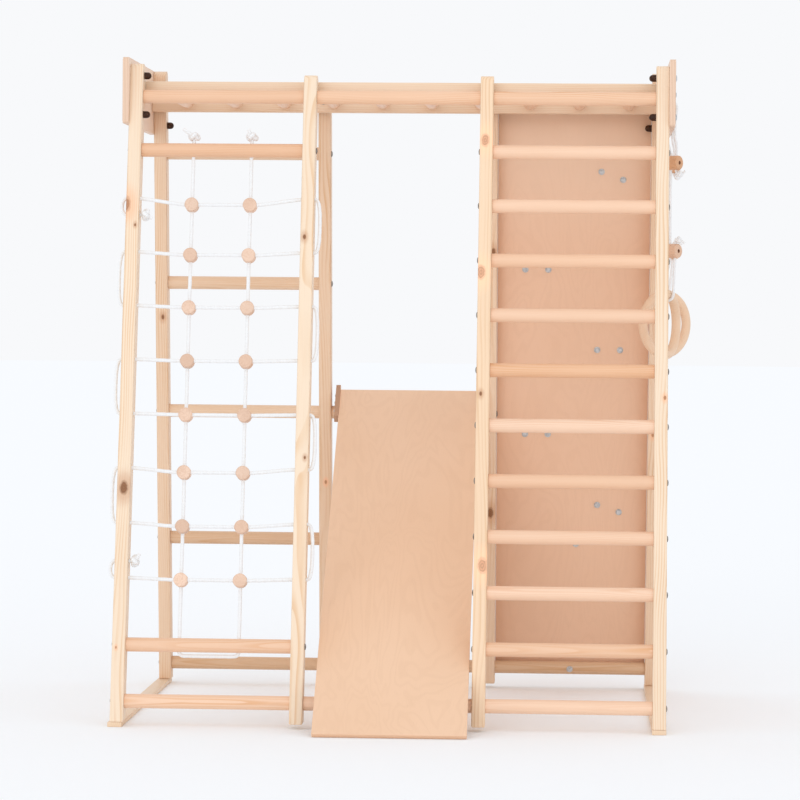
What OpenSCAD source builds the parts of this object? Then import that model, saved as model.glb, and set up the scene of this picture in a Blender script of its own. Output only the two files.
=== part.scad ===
// Wooden indoor climbing frame: three bays under a row of monkey bars, with a ladder, a rope net,
// a slide, a climbing panel and two gym rings.
// X runs across the bays, Y from the front legs to the rear legs, Z up from the floor.
// The origin is on the floor, in the middle of the whole object's box.

/* [Frame] */
// Width of the net bay and of the ladder bay, between leg centres
side_bay_w = 444; // [440:1:450]
// Width of the slide bay in the middle, between leg centres
middle_bay_w = 449; // [447:1:455]
// Lean of the front legs from upright, in degrees
front_lean = 10.8; // [10.4:0.1:11]
// Lean of the rear legs from upright, in degrees
rear_lean = 7.2; // [6.8:0.1:7.6]
// Distance between the front and rear leg centres at the foot
foot_spread = 978; // [970:2:990]
// Width of a leg, seen from the front
leg_w = 33; // [30:1:36]
// Depth of a leg, seen from the side
leg_d = 50; // [46:1:54]
// Height of the tops of the outer front legs
outer_top = 1655; // [1645:1:1665]
// Height of the tops of the two middle front legs
middle_top = 1627; // [1618:1:1635]
// Thickness of the two foot boards
foot_t = 12; // [10:1:15]

/* [Rungs] */
// Diameter of every rung and bar
rung_d = 35; // [32:1:36]
// Distance between ladder rungs, measured along the leg
rung_pitch = 140; // [138:1:141]
// Distance between rear bars, measured along the leg
bar_pitch = 352; // [348:1:354]

/* [Monkey bars] */
// Number of monkey bar rungs
monkey_count = 10; // [6:1:10]
// Distance between monkey bar rungs
monkey_pitch = 131; // [128:1:132]
// Height of the middle of the two side rails
rail_z = 1588; // [1585:1:1590]
// Height of a side rail's section
rail_h = 54; // [50:1:56]

/* [Gusset plates] */
// Length of a plate from front to back
plate_len = 560; // [550:2:570]
// Height of a plate
plate_h = 168; // [160:2:172]
// Thickness of a plate
plate_t = 15; // [12:1:18]

/* [Net] */
// Rope diameter
net_rope_d = 10; // [8:1:10]
// Distance between the rope rows along the legs
net_pitch = 138; // [136:1:139]
// Diameter of the wooden discs at the crossings
disc_d = 35; // [32:1:40]
// Thickness of the discs
disc_t = 30; // [28:1:34]

/* [Slide] */
// Length of the slide board
slide_len = 1314; // [1305:1:1320]
// Width of the slide board
slide_w = 376; // [350:1:376]
// Thickness of the slide board
slide_t = 12; // [10:1:15]
// Slope of the slide board, in degrees
slide_slope = 38; // [37.8:0.1:38.2]
// How far the slide stands askew on its bar, in degrees
slide_skew = 0.5; // [0:0.1:0.5]

/* [Climbing panel] */
// Width of the panel
panel_w = 410; // [400:2:410]
// Thickness of the panel
panel_t = 12; // [10:1:12]

/* [Gym rings] */
// Outer diameter of a ring
ring_d = 180; // [170:2:190]
// Thickness of a ring
ring_t = 24; // [20:1:26]
// Height of the middle of the rings
ring_z = 1004; // [980:2:1030]
// Rope diameter of the rings
ring_rope_d = 8; // [6:1:8]

/* [Hidden] */
$fn = 48;
pine = [0.95, 0.87, 0.71];
beech = [0.92, 0.76, 0.60];
tan_pine = [0.87, 0.68, 0.48];
birch_ply = [0.90, 0.77, 0.62];
rope_white = [0.95, 0.94, 0.92];
steel_grey = [0.62, 0.63, 0.64];
black_cap = [0.10, 0.08, 0.07];

// Clearances
bore_play = 0.3;         // radial room round a bolt or a rope in its hole
thread_play = 0.05;      // radial room between a bolt and the insert it screws into

// Fasteners
rung_bolt_d = 6;
rung_head_d = 16;
rung_head_h = 3.5;
rung_bolt_grip = 22;     // how far a rung bolt reaches into the rung's end
insert_d = 10;
insert_len = 24;
frame_bolt_d = 8;
frame_head_d = 18;
frame_head_h = 4.5;
cap_d = 18;
cap_h = 18;

// Overall box, used to put the origin in its middle
slide_toe_y = -165;      // where the underside of the slide meets the floor
slide_low_y = slide_toe_y - slide_t * sin(slide_slope) - slide_w / 2 * sin(slide_skew);
frame_w = 2 * side_bay_w + middle_bay_w;
foot_end = leg_d / 2 + 1;
ring_hang_x = frame_w + leg_w / 2 + plate_t / 2;
ring_r = (ring_d - ring_t) / 2;
rear_ring_turn = 42;
front_ring_turn = 70;
ring_shift = -4;         // the ring's top, sideways from the plate's middle
box_left = -leg_w / 2 - plate_t - frame_head_h;
box_right = ring_hang_x + ring_shift + ring_r * cos(rear_ring_turn) + ring_t / 2;
mid_x = (box_left + box_right) / 2;
mid_y = (slide_low_y + foot_spread + foot_end) / 2;

// Places on the frame
rung_count = 11;         // ladder rungs below the top dowel
leg_places = [0, side_bay_w, side_bay_w + middle_bay_w, frame_w];
function leg_x(i) = leg_places[i] - mid_x;
function clear_w(bay) = leg_places[bay + 1] - leg_places[bay] - leg_w;
front_foot_y = -mid_y;
rear_foot_y = foot_spread - mid_y;
rung_foot = 50;          // the bottom rung's centre, along the leg from its foot
bar_foot = 45.5;         // the bottom rear bar's centre, along the leg from its foot
top_level = 0;
function front_point(along) =
    [front_foot_y + along * sin(front_lean), foot_t + along * cos(front_lean)];
function rear_point(along) =
    [rear_foot_y - along * sin(rear_lean), foot_t + along * cos(rear_lean)];
function rung_along(level) = rung_foot + (rung_count - level) * rung_pitch;
function bar_along(level) = bar_foot + (5 - level) * bar_pitch;
function front_y_at(z) = front_foot_y + (z - foot_t) * tan(front_lean);
function rear_y_at(z) = rear_foot_y - (z - foot_t) * tan(rear_lean);
panel_bar_level = 0.63;  // the hidden bar behind the rear rail, in bar levels

// Which rungs and bars each bay has, by level from the top
front_levels = [[0, 1, 10, 11], [0, 11], [for (level = [0:rung_count]) level]];
rear_levels = [[1, 2, 3, 4, 5], [3, 5], [panel_bar_level, 5]];

// Legs
leg_round = 14;
rear_outer_top = 1671;
rear_middle_top = 1612;

// Gusset plates
plate_mid_z = 1587;
plate_front_y = 250 - mid_y;
plate_bolt_z = [1527, 1627];
plate_round = 6;

// Monkey bar rails
rail_t = 33;
rail_gap = 0.5;
rail_bolt_reach = 32;            // into the rails' ends
leg_bolt_reach = 18;             // from a rail into a middle leg
rail_head_d = 14;
rail_tenon = 20;
rail_len = frame_w + leg_w;
rail_top = rail_z + rail_h / 2;
front_rail_y = front_y_at(rail_top) + leg_d / 2 / cos(front_lean) + rail_gap;
rear_rail_y = rear_y_at(rail_top) - leg_d / 2 / cos(rear_lean) - rail_gap - rail_t;
monkey_mid_x = frame_w / 2 - mid_x;

// Net
net_top = rung_along(1) - 128;
net_sag = [15, 7, 4, 3, 2, 10, 8, 4];
net_rows = len(net_sag);
net_layer = 5.7;         // each rope's distance in front of or behind the leg's middle
net_rope_clear = net_rope_d / 2 + bore_play;
net_knot_d = 26;
knot_from_leg = 16;      // a knot's centre, from the leg's inner face
knot_from_row = 42;      // and along the leg from the nearest row
flat_run = 20;           // the rope runs straight through a disc this far each side
leg_run = leg_w / 2 + 2;
function row_along(row) = net_top - row * net_pitch;
// The outside loop between two rows: how far off the leg's face, and how far past the first row
loop_shape = [[7, 3], [11, 14], [14, 40], [14, 98], [11, 124], [7, 135]];

// Slide
slide_bar_point = rear_point(bar_along(3));
slide_mid_x = frame_w / 2 + 5 - mid_x;
slide_toe = slide_toe_y - mid_y;
hook_t = 12;
hook_len = 110;
hook_past_end = 23;
hook_above = 14;
hook_below_bar = 14;             // how far the hooks reach below the middle of the slide bar
hook_behind_bar = 34;
hook_before_bar = 58;
hook_play = 2;
hook_round = 10;
screw_d = 4;
screw_head_d = 8;
screw_head_h = 2;
screw_reach = 38;
screw_places = [26, 60, 90];     // from the hook's lower end

// Climbing panel and holds
panel_low = 30;
panel_high = 1600;
panel_front = rung_d / 2;        // behind the middle of the rear legs
hold_bolt_gap = 62;
hold_bolt_d = 8;
washer_d = 17;
washer_t = 1.6;
hex_head_d = 11;
hex_head_h = 5;
hold_bore = 22;
// Each hold: across from the panel's middle, along the leg, tilt, length, height, depth
hold_places = [
    [102, 1398, -20, 118, 74, 42],
    [-99, 1143, 0, 110, 84, 36],
    [97, 925, 0, 124, 70, 44],
    [-97, 692, 0, 112, 80, 38],
    [100, 488, -18, 120, 76, 40],
    [-16, 398, -18, 108, 78, 36]];

// Gym rings: each set is [distance behind the front legs' feet, turn of the ring]
ring_sets = [[450, front_ring_turn], [650, rear_ring_turn]];
hang_hole_d = 14;
hang_bend = 16;                  // radius of the rope's bend through the plate
hang_z = 1562;                   // middle of that bend
ring_top_z = ring_z + ring_r;
toggle_d = 37;
toggle_len = 38;
toggle_turn = -35;               // the toggles' axis, turned from straight across
toggle_shift = 9;                // the toggles' middle, sideways from the plate's middle
toggle_hole = 8;                 // each of a toggle's two holes, from its middle
dimple_d = 9;
dimple_depth = 4;
upper_toggle_z = 1420;
lower_toggle_z = 1193;
ring_knot_d = 19;
ring_loop = ring_t / 2 + ring_rope_d / 2 + 1.2;

// ---------------------------------------------------------------- helpers

// Points of an arc, for outlines with rounded corners
function arc(centre, radius, from, to, steps = 5) =
    [for (i = [0:steps]) centre + radius * [cos(from + (to - from) * i / steps),
                                            sin(from + (to - from) * i / steps)]];

// A rod along X that starts at x
module rod_x(x, point, d, length) {
    translate([x, point.x, point.y]) rotate([0, 90, 0]) cylinder(d = d, h = length);
}

// Puts children on the middle line of the front legs, at a distance along them
module on_front(x, along) {
    p = front_point(along);
    translate([x, p.x, p.y]) rotate([-front_lean, 0, 0]) children();
}

module on_rear(x, along) {
    p = rear_point(along);
    translate([x, p.x, p.y]) rotate([rear_lean, 0, 0]) children();
}

function unit(v) = v / norm(v);

// One ring of a rope's surface round a route point; ref is square to the rope's bend
function rope_ring(centre, tangent, ref, d, sides) =
    let (side = unit(cross(tangent, ref)), up = cross(side, tangent))
    [for (j = [0:sides - 1]) centre + d / 2 * (cos(360 * j / sides) * side + sin(360 * j / sides) * up)];

function rope_tangent(route, i) =
    unit(route[min(i + 1, len(route) - 1)] - route[max(i - 1, 0)]);

// A rope swept along a route. refs has one direction for every route point.
module rope(route, refs, d, sides = 8) {
    n = len(route);
    points = [for (i = [0:n - 1]) each rope_ring(route[i], rope_tangent(route, i), refs[i], d, sides)];
    walls = [for (i = [0:n - 2]) for (j = [0:sides - 1])
        [i * sides + j, i * sides + (j + 1) % sides,
         (i + 1) * sides + (j + 1) % sides, (i + 1) * sides + j]];
    start = [for (j = [sides - 1:-1:0]) j];
    end = [for (j = [0:sides - 1]) (n - 1) * sides + j];
    polyhedron(points, concat([start], walls, [end]));
}

// A wooden bar between the two legs of a bay, drilled at both ends for the inserts
module bay_bar(bay, point) {
    x = leg_x(bay) + leg_w / 2;
    length = clear_w(bay);
    difference() {
        rod_x(x, point, rung_d, length);
        for (end_x = [x, x + length - insert_len])
            rod_x(end_x, point, insert_d, insert_len);
    }
}

function has_level(levels, bay, level) =
    bay >= 0 && bay < 3 && len(search(level, levels[bay])) > 0;

// ---------------------------------------------------------------- legs

// Side outline of a leg: its foot is cut level with the floor and its top is rounded
module leg_outline(length, lean) {
    half = leg_d / 2;
    slope = half * tan(lean);
    polygon(concat(
        [[-half, -slope], [half, slope]],
        arc([half - leg_round, length - leg_round], leg_round, 0, 90),
        arc([leg_round - half, length - leg_round], leg_round, 90, 180)));
}

module leg_blank(length, lean) {
    rotate([90, 0, 90]) translate([0, 0, -leg_w / 2])
        linear_extrude(leg_w) leg_outline(length, lean);
}

module across_bore(d) {
    translate([-leg_w / 2 - 1, 0, 0]) rotate([0, 90, 0]) cylinder(d = d, h = leg_w + 2);
}

module front_leg(i) {
    outer = i == 0 || i == 3;
    length = ((outer ? outer_top : middle_top) - foot_t) / cos(front_lean);
    color(pine) difference() {
        on_front(leg_x(i), 0) leg_blank(length, front_lean);
        for (level = [0:rung_count])
            if (has_level(front_levels, i - 1, level) || has_level(front_levels, i, level))
                on_front(leg_x(i), rung_along(level)) across_bore(rung_bolt_d + 2 * bore_play);
        if (i < 2) net_bores(i);
        if (outer) {
            plate_bores(leg_x(i), front = true);
            sunk_head_bore(i, front_point(rung_along(top_level)));
        } else {
            rail_bolt_bore(leg_x(i), front = true);
        }
    }
}

module rear_leg(i) {
    outer = i == 0 || i == 3;
    length = ((outer ? rear_outer_top : rear_middle_top) - foot_t) / cos(rear_lean);
    color(tan_pine) difference() {
        on_rear(leg_x(i), 0) leg_blank(length, -rear_lean);
        for (bay = [i - 1, i])
            if (bay >= 0 && bay < 3)
                for (level = rear_levels[bay])
                    on_rear(leg_x(i), bar_along(level)) across_bore(rung_bolt_d + 2 * bore_play);
        if (outer)
            plate_bores(leg_x(i), front = false);
        else
            rail_bolt_bore(leg_x(i), front = false);
        if (i == 3)
            sunk_head_bore(i, rear_point(bar_along(panel_bar_level)));
    }
}

// Holes in the two legs beside the net: one for each rope row, and two for the rope's ends
module net_bores(i) {
    ends = i == 0 ? [row_along(0) - knot_from_row, row_along(net_rows - 1) + knot_from_row] : [];
    for (along = concat([for (row = [0:net_rows - 1]) row_along(row)], ends))
        on_front(leg_x(i), along) translate([0, -net_layer, 0]) across_bore(2 * net_rope_clear);
}

// A bolt head is sunk in the leg where a gusset plate covers it
module sunk_head_bore(i, point) {
    depth = rung_head_h + 1;
    x = i == 0 ? leg_x(i) - leg_w / 2 : leg_x(i) + leg_w / 2 - depth;
    rod_x(x, point, rung_head_d + 2, depth);
}

module foot_board(i, shift) {
    length = foot_spread + 2 * foot_end;
    color(pine) translate([leg_x(i) - leg_w / 2 - 1 + shift, front_foot_y - foot_end, 0])
        cube([leg_w + 2, length, foot_t]);
}

// ---------------------------------------------------------------- gusset plates and rails

function plate_bolt_points(front) =
    [for (z = plate_bolt_z) [front ? front_y_at(z) : rear_y_at(z), z]];

module plate_bores(x, front) {
    for (p = plate_bolt_points(front))
        translate([x, p.x, p.y]) across_bore(frame_bolt_d + 2 * bore_play);
}

module rail_bolt_bore(x, front) {
    y = front ? front_rail_y - leg_bolt_reach : rear_rail_y + rail_t;
    translate([x, y, rail_z]) rotate([-90, 0, 0])
        cylinder(d = frame_bolt_d + 2 * thread_play, h = leg_bolt_reach);
}

function rail_end_points() =
    [[front_rail_y + rail_t / 2, rail_z], [rear_rail_y + rail_t / 2, rail_z]];

module plate_outline() {
    low = plate_mid_z - plate_h / 2;
    high = plate_mid_z + plate_h / 2;
    back = plate_front_y + plate_len;
    r = plate_round;
    polygon(concat(
        arc([back - r, low + r], r, -90, 0),
        arc([back - r, high - r], r, 0, 90),
        arc([plate_front_y + r, high - r], r, 90, 180),
        arc([plate_front_y + r, low + r], r, 180, 270)));
}

// side is -1 on the left and 1 on the right
module gusset_plate(side) {
    x = side < 0 ? leg_x(0) - leg_w / 2 - plate_t : leg_x(3) + leg_w / 2;
    color(birch_ply) difference() {
        translate([x, 0, 0]) rotate([90, 0, 90]) linear_extrude(plate_t) plate_outline();
        for (p = concat(plate_bolt_points(true), plate_bolt_points(false), rail_end_points()))
            rod_x(x - 1, p, frame_bolt_d + 2 * bore_play, plate_t + 2);
        if (side > 0)
            for (set = ring_sets)
                rod_x(x - 1, hang_hole(set), hang_hole_d, plate_t + 2);
    }
}

module monkey_rail(front) {
    y = front ? front_rail_y : rear_rail_y;
    tenon_y = front ? y + rail_t - rail_tenon : y;
    color(front ? pine : tan_pine) difference() {
        translate([leg_x(0) - leg_w / 2, y, rail_z - rail_h / 2]) cube([rail_len, rail_t, rail_h]);
        for (i = [1:monkey_count])
            translate([monkey_x(i), tenon_y - (front ? 0 : 1), rail_z]) rotate([-90, 0, 0])
                cylinder(d = rung_d + 2 * thread_play, h = rail_tenon + 1);
        for (i = [1, 2])
            translate([leg_x(i), y - 1, rail_z]) rotate([-90, 0, 0])
                cylinder(d = frame_bolt_d + 2 * bore_play, h = rail_t + 2);
        for (x = [leg_x(0) - leg_w / 2 - 1, leg_x(3) + leg_w / 2 - rail_bolt_reach])
            rod_x(x, [y + rail_t / 2, rail_z], frame_bolt_d + 2 * thread_play, rail_bolt_reach + 1);
    }
}

function monkey_x(i) = monkey_mid_x + (i - (monkey_count + 1) / 2) * monkey_pitch;

module monkey_rung(i) {
    start = front_rail_y + rail_t - rail_tenon;
    color(beech) translate([monkey_x(i), start, rail_z]) rotate([-90, 0, 0])
        cylinder(d = rung_d, h = rear_rail_y + rail_tenon - start);
}

// ---------------------------------------------------------------- rungs and bars

module ladder_rung(level) {
    color(beech) bay_bar(2, front_point(rung_along(level)));
}

module top_dowels() {
    color(beech) for (bay = [0:2]) bay_bar(bay, front_point(rung_along(top_level)));
}

// The net's upright rope passes through the top and the middle bar of this bay
module net_bay_bars() {
    color(beech) for (level = [1, 10, 11])
        difference() {
            bay_bar(0, front_point(rung_along(level)));
            if (level < 11)
                for (x = net_columns())
                    on_front(x, rung_along(level)) translate([0, net_layer, -rung_d])
                        cylinder(r = net_rope_clear, h = 2 * rung_d);
        }
}

module slide_bay_bar() {
    color(beech) bay_bar(1, front_point(rung_along(rung_count)));
}

module rear_bars() {
    color(tan_pine) {
        for (level = rear_levels[0]) bay_bar(0, rear_point(bar_along(level)));
        bay_bar(1, rear_point(bar_along(5)));
        for (level = rear_levels[2])
            difference() {
                bay_bar(2, rear_point(bar_along(level)));
                on_rear(panel_mid_x(), bar_along(level)) rotate([-90, 0, 0])
                    translate([0, 0, -rung_d]) cylinder(d = hold_bolt_d + 2 * bore_play, h = 2 * rung_d);
            }
    }
}

module slide_bar() {
    color(tan_pine) bay_bar(1, slide_bar_point);
}

// Rung bolts: a bolt with a head where the leg's other face is free, and a headless stud where
// bars meet the leg on both sides
module rung_bolt(x, point, from_left, sunk) {
    head_x = from_left ? x - leg_w / 2 : x + leg_w / 2;
    shift = sunk ? rung_head_h : 0;
    grip = leg_w + rung_bolt_grip;
    rod_x(from_left ? head_x - rung_head_h + shift : head_x - shift, point, rung_head_d, rung_head_h);
    rod_x(from_left ? head_x + shift : head_x - grip, point, rung_bolt_d, grip - shift);
}

module rung_stud(x, point) {
    half = leg_w / 2 + rung_bolt_grip;
    rod_x(x - half, point, rung_bolt_d, 2 * half);
}

module bolts_at(i, point, left_bar, right_bar, sunk) {
    if (left_bar && right_bar)
        rung_stud(leg_x(i), point);
    else if (left_bar || right_bar)
        rung_bolt(leg_x(i), point, right_bar, sunk);
}

module rung_bolts() {
    color(steel_grey) for (i = [0:3]) {
        for (level = [0:rung_count])
            bolts_at(i, front_point(rung_along(level)), has_level(front_levels, i - 1, level),
                has_level(front_levels, i, level), level == top_level && (i == 0 || i == 3));
        for (level = [1, 2, 3, 4, 5, panel_bar_level])
            bolts_at(i, rear_point(bar_along(level)), has_level(rear_levels, i - 1, level),
                has_level(rear_levels, i, level), level == panel_bar_level && i == 3);
    }
}

// Threaded sleeves inside the ends of every rung and bar
module insert_pair(bay, point) {
    x = leg_x(bay) + leg_w / 2;
    for (end_x = [x, x + clear_w(bay) - insert_len])
        difference() {
            rod_x(end_x, point, insert_d, insert_len);
            rod_x(end_x - 1, point, rung_bolt_d + 2 * thread_play, insert_len + 2);
        }
}

module rung_inserts() {
    color("goldenrod") for (bay = [0:2]) {
        for (level = front_levels[bay]) insert_pair(bay, front_point(rung_along(level)));
        for (level = rear_levels[bay]) insert_pair(bay, rear_point(bar_along(level)));
    }
}

// ---------------------------------------------------------------- frame bolts

// A bolt along X through a plate: its domed head is outside, and inward points at its free end
module plate_bolt(side, point, reach) {
    outer_x = side < 0 ? leg_x(0) - leg_w / 2 - plate_t : leg_x(3) + leg_w / 2 + plate_t;
    rod_x(side < 0 ? outer_x - frame_head_h : outer_x, point, frame_head_d, frame_head_h);
    rod_x(side < 0 ? outer_x : outer_x - reach, point, frame_bolt_d, reach);
}

module frame_bolts() {
    color(steel_grey) {
        for (side = [-1, 1]) {
            for (p = concat(plate_bolt_points(true), plate_bolt_points(false)))
                plate_bolt(side, p, plate_t + leg_w + cap_h / 2);
            for (p = rail_end_points())
                plate_bolt(side, p, plate_t + rail_bolt_reach);
        }
        for (i = [1, 2]) {
            rail_bolt(leg_x(i), front_rail_y + rail_t, -1);
            rail_bolt(leg_x(i), rear_rail_y, 1);
        }
    }
}

// A bolt along Y from the inner face of a rail into a middle leg
module rail_bolt(x, face_y, direction) {
    translate([x, face_y, rail_z]) rotate([-90 * direction, 0, 0]) {
        cylinder(d = frame_bolt_d, h = rail_t + leg_bolt_reach);
        translate([0, 0, -frame_head_h]) cylinder(d = rail_head_d, h = frame_head_h);
    }
}

// A domed cap nut: a short cylinder under a half ball, with a blind hole for the bolt
module cap_nut(side, point) {
    face_x = side < 0 ? leg_x(0) + leg_w / 2 : leg_x(3) - leg_w / 2;
    translate([face_x, point.x, point.y]) rotate([0, -90 * side, 0]) difference() {
        rotate_extrude() union() {
            square([cap_d / 2, cap_h / 2]);
            translate([0, cap_h / 2]) intersection() {
                circle(d = cap_d);
                square(cap_d / 2);
            }
        }
        translate([0, 0, -1]) cylinder(d = frame_bolt_d + 2 * thread_play, h = cap_h / 2 + 1.5);
    }
}

module cap_nuts() {
    color(black_cap) for (side = [-1, 1])
        for (p = concat(plate_bolt_points(true), plate_bolt_points(false))) cap_nut(side, p);
}

// ---------------------------------------------------------------- net

function net_columns() = [leg_x(0) + side_bay_w / 3, leg_x(0) + 2 * side_bay_w / 3];

// Net routes are worked out flat, as [x, along], and then laid on the plane of the front legs
function on_net(p, layer) =
    let (q = front_point(p.y))
    [p.x, q.x + layer * cos(front_lean), q.y - layer * sin(front_lean)];

function row_points(row) =
    let (s = row_along(row), low = s - net_sag[row], x = net_columns(), right = leg_x(1))
    [[leg_x(0) - leg_run, s], [leg_x(0) + leg_run, s], [x[0] - flat_run, low], [x[0] + flat_run, low],
     [x[1] - flat_run, low], [x[1] + flat_run, low], [right - leg_run, s], [right + leg_run, s]];

function flipped(list) = [for (i = [len(list) - 1:-1:0]) list[i]];

// The loop outside a leg that carries the rope from one row down to the next
function outer_loop(row) =
    let (right = row % 2 == 0, face = right ? leg_x(1) + leg_w / 2 : leg_x(0) - leg_w / 2)
    [for (p = loop_shape) [face + (right ? 1 : -1) * p[0], row_along(row) - p[1]]];

// The rope's two ends come back in through the left leg to a knot
function net_end(row, direction) =
    let (s = row_along(row), face = leg_x(0) - leg_w / 2, back = s + direction * knot_from_row)
    [[face - 7, s + direction * 3], [face - 12, s + direction * 13], [face - 12, back - direction * 13],
     [face - 7, back - direction * 3], [face - 2, back], [face + leg_w + 2, back],
     [face + leg_w + knot_from_leg, back]];

across_route = concat(
    flipped(net_end(0, -1)),
    [for (row = [0:net_rows - 1]) each concat(
        row % 2 == 0 ? row_points(row) : flipped(row_points(row)),
        row < net_rows - 1 ? outer_loop(row) : [])],
    net_end(net_rows - 1, 1));

upright_top = rung_along(1) + rung_d / 2 + net_knot_d / 2 + 2;
upright_low = rung_along(10) - rung_d / 2 - net_rope_d / 2 - 4;
upright_route = let (x = net_columns(), low = upright_low)
    [[x[0], upright_top], [x[0], rung_along(3)], [x[0], rung_along(6)], [x[0], rung_along(8)],
     [x[0], low + 9], [x[0] + 2.4, low + 3.6], [x[0] + 8, low + 0.6], [x[0] + 18, low],
     [x[1] - 18, low], [x[1] - 8, low + 0.6], [x[1] - 2.4, low + 3.6], [x[1], low + 9],
     [x[1], rung_along(8)], [x[1], rung_along(6)], [x[1], rung_along(3)], [x[1], upright_top]];

net_normal = [0, cos(front_lean), -sin(front_lean)];

module net_rope(flat_route, layer) {
    route = [for (p = flat_route) on_net(p, layer)];
    color(rope_white) {
        rope(route, [for (p = route) net_normal], net_rope_d);
        for (p = [route[0], route[len(route) - 1]])
            translate(p) sphere(d = net_knot_d);
    }
}

module net_rope_across() {
    net_rope(across_route, -net_layer);
}

module net_rope_upright() {
    net_rope(upright_route, net_layer);
}

module net_discs() {
    color(beech) for (row = [0:net_rows - 1]) for (x = net_columns())
        on_front(x, row_along(row) - net_sag[row]) difference() {
            rotate([90, 0, 0]) cylinder(d = disc_d, h = disc_t, center = true);
            translate([0, -net_layer, 0]) rotate([0, 90, 0])
                cylinder(r = net_rope_clear, h = disc_d + 2, center = true);
            translate([0, net_layer, 0]) cylinder(r = net_rope_clear, h = disc_d + 2, center = true);
        }
}

// ---------------------------------------------------------------- slide

// Puts children in the slide board's own frame: x across, y up the slope, z out of the board
module on_slide() {
    translate([slide_mid_x, slide_bar_point.x, 0]) rotate([0, 0, slide_skew])
        translate([0, slide_toe - slide_bar_point.x, 0]) rotate([slide_slope, 0, 0]) children();
}

module slide_board() {
    color(birch_ply) on_slide() difference() {
        translate([-slide_w / 2, 0, 0]) cube([slide_w, slide_len, slide_t]);
        for (side = [-1, 1])
            screw_bores(side * (slide_w / 2 - screw_reach / 2), screw_d + 2 * thread_play, screw_reach + 2);
    }
}

// The screws' holes, along X, centred at x
module screw_bores(x, d, length) {
    for (place = screw_places)
        translate([x, slide_len - hook_len + place, slide_t / 2]) rotate([0, 90, 0])
            cylinder(d = d, h = length, center = true);
}

// A point beside the slide bar's centre, as [up the slope, out of the board]
function by_bar(back, up) =
    let (dy = slide_bar_point.x + back - slide_toe, dz = slide_bar_point.y + up)
    [dy * cos(slide_slope) + dz * sin(slide_slope), dz * cos(slide_slope) - dy * sin(slide_slope)];

module hook_outline() {
    low = slide_len - hook_len;
    high = slide_len + hook_past_end;
    r = hook_round;
    polygon(concat(
        [by_bar(-hook_before_bar, -hook_below_bar), by_bar(hook_behind_bar, -hook_below_bar)],
        [by_bar(hook_behind_bar, hook_below_bar)],
        arc([high - r, hook_above - r], r, 0, 90),
        arc([low + r, hook_above - r], r, 90, 180),
        [[low, -slide_t]]));
}

// A cheek that hooks over the slide bar: its slot opens straight down
module slide_hook(side) {
    x = side < 0 ? -slide_w / 2 - hook_t : slide_w / 2;
    slot_r = rung_d / 2 + hook_play;
    p = by_bar(0, 0);
    color(birch_ply) on_slide() difference() {
        translate([x, 0, 0]) rotate([90, 0, 90]) linear_extrude(hook_t) hook_outline();
        translate([x - 1, p.x, p.y]) rotate([0, 90, 0]) cylinder(r = slot_r, h = hook_t + 2);
        translate([x - 1, p.x, p.y]) rotate([-slide_slope, 0, 0])
            translate([0, -slot_r, -rung_d]) cube([hook_t + 2, 2 * slot_r, rung_d]);
        screw_bores(x + hook_t / 2, screw_d + 2 * bore_play, hook_t + 2);
    }
}

module slide_screws() {
    color(steel_grey) on_slide() for (side = [-1, 1]) for (place = screw_places)
        translate([side * (slide_w / 2 + hook_t), slide_len - hook_len + place, slide_t / 2])
            rotate([0, -90 * side, 0]) {
                cylinder(d = screw_d, h = hook_t + screw_reach);
                translate([0, 0, -screw_head_h]) cylinder(d = screw_head_d, h = screw_head_h);
            }
}

// ---------------------------------------------------------------- climbing panel

function panel_mid_x() = leg_x(2) + side_bay_w / 2;

// Puts children on the panel's front face: x across, y towards the back, z up the panel
module on_panel(across, along, tilt = 0) {
    on_rear(panel_mid_x() + across, along) translate([0, panel_front, 0])
        rotate([0, -tilt, 0]) children();
}

module hold_bolt_bores(d, from, length) {
    for (place = hold_places)
        on_panel(place[0], place[1], place[2]) for (side = [-1, 1])
            translate([side * hold_bolt_gap / 2, from, 0]) rotate([-90, 0, 0]) cylinder(d = d, h = length);
}

module climbing_panel() {
    color(birch_ply) difference() {
        on_panel(0, panel_low) translate([-panel_w / 2, 0, 0])
            cube([panel_w, panel_t, panel_high - panel_low]);
        hold_bolt_bores(hold_bolt_d + 2 * bore_play, -1, panel_t + 2);
        for (level = rear_levels[2])
            on_panel(0, bar_along(level)) translate([0, -1, 0]) rotate([-90, 0, 0])
                cylinder(d = hold_bolt_d + 2 * bore_play, h = panel_t + 2);
    }
}

module hold_body(length, height, depth) {
    hull() {
        rotate([-90, 0, 0]) intersection() {
            cylinder(d = length, h = 5, $fn = 28);
            cube([length, height, 20], center = true);
        }
        translate([length / 8, depth * 0.55, height / 16]) sphere(d = depth * 0.9, $fn = 20);
        translate([-length / 6, depth * 0.5, -height / 12]) sphere(d = depth * 0.8, $fn = 20);
    }
}

module climbing_holds() {
    color("indianred") difference() {
        for (place = hold_places)
            on_panel(place[0], place[1], place[2]) translate([0, panel_t, 0])
                hold_body(place[3], place[4], place[5]);
        hold_bolt_bores(hold_bolt_d + 2 * thread_play, panel_t - 1, hold_bore + 1);
    }
}

// A bolt with its washer, pointing towards +Y, its head on the near side
module washer_bolt(reach) {
    rotate([-90, 0, 0]) {
        cylinder(d = hold_bolt_d, h = reach);
        translate([0, 0, -washer_t]) cylinder(d = washer_d, h = washer_t);
        translate([0, 0, -washer_t - hex_head_h]) cylinder(d = hex_head_d, h = hex_head_h);
    }
}

module panel_bolts() {
    color(steel_grey) {
        for (place = hold_places)
            on_panel(place[0], place[1], place[2]) for (side = [-1, 1])
                translate([side * hold_bolt_gap / 2, 0, 0]) washer_bolt(panel_t + hold_bore - 2);
        for (level = rear_levels[2])
            on_panel(0, bar_along(level)) translate([0, -rung_d, 0]) washer_bolt(rung_d + panel_t);
    }
}

// ---------------------------------------------------------------- gym rings

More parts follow.
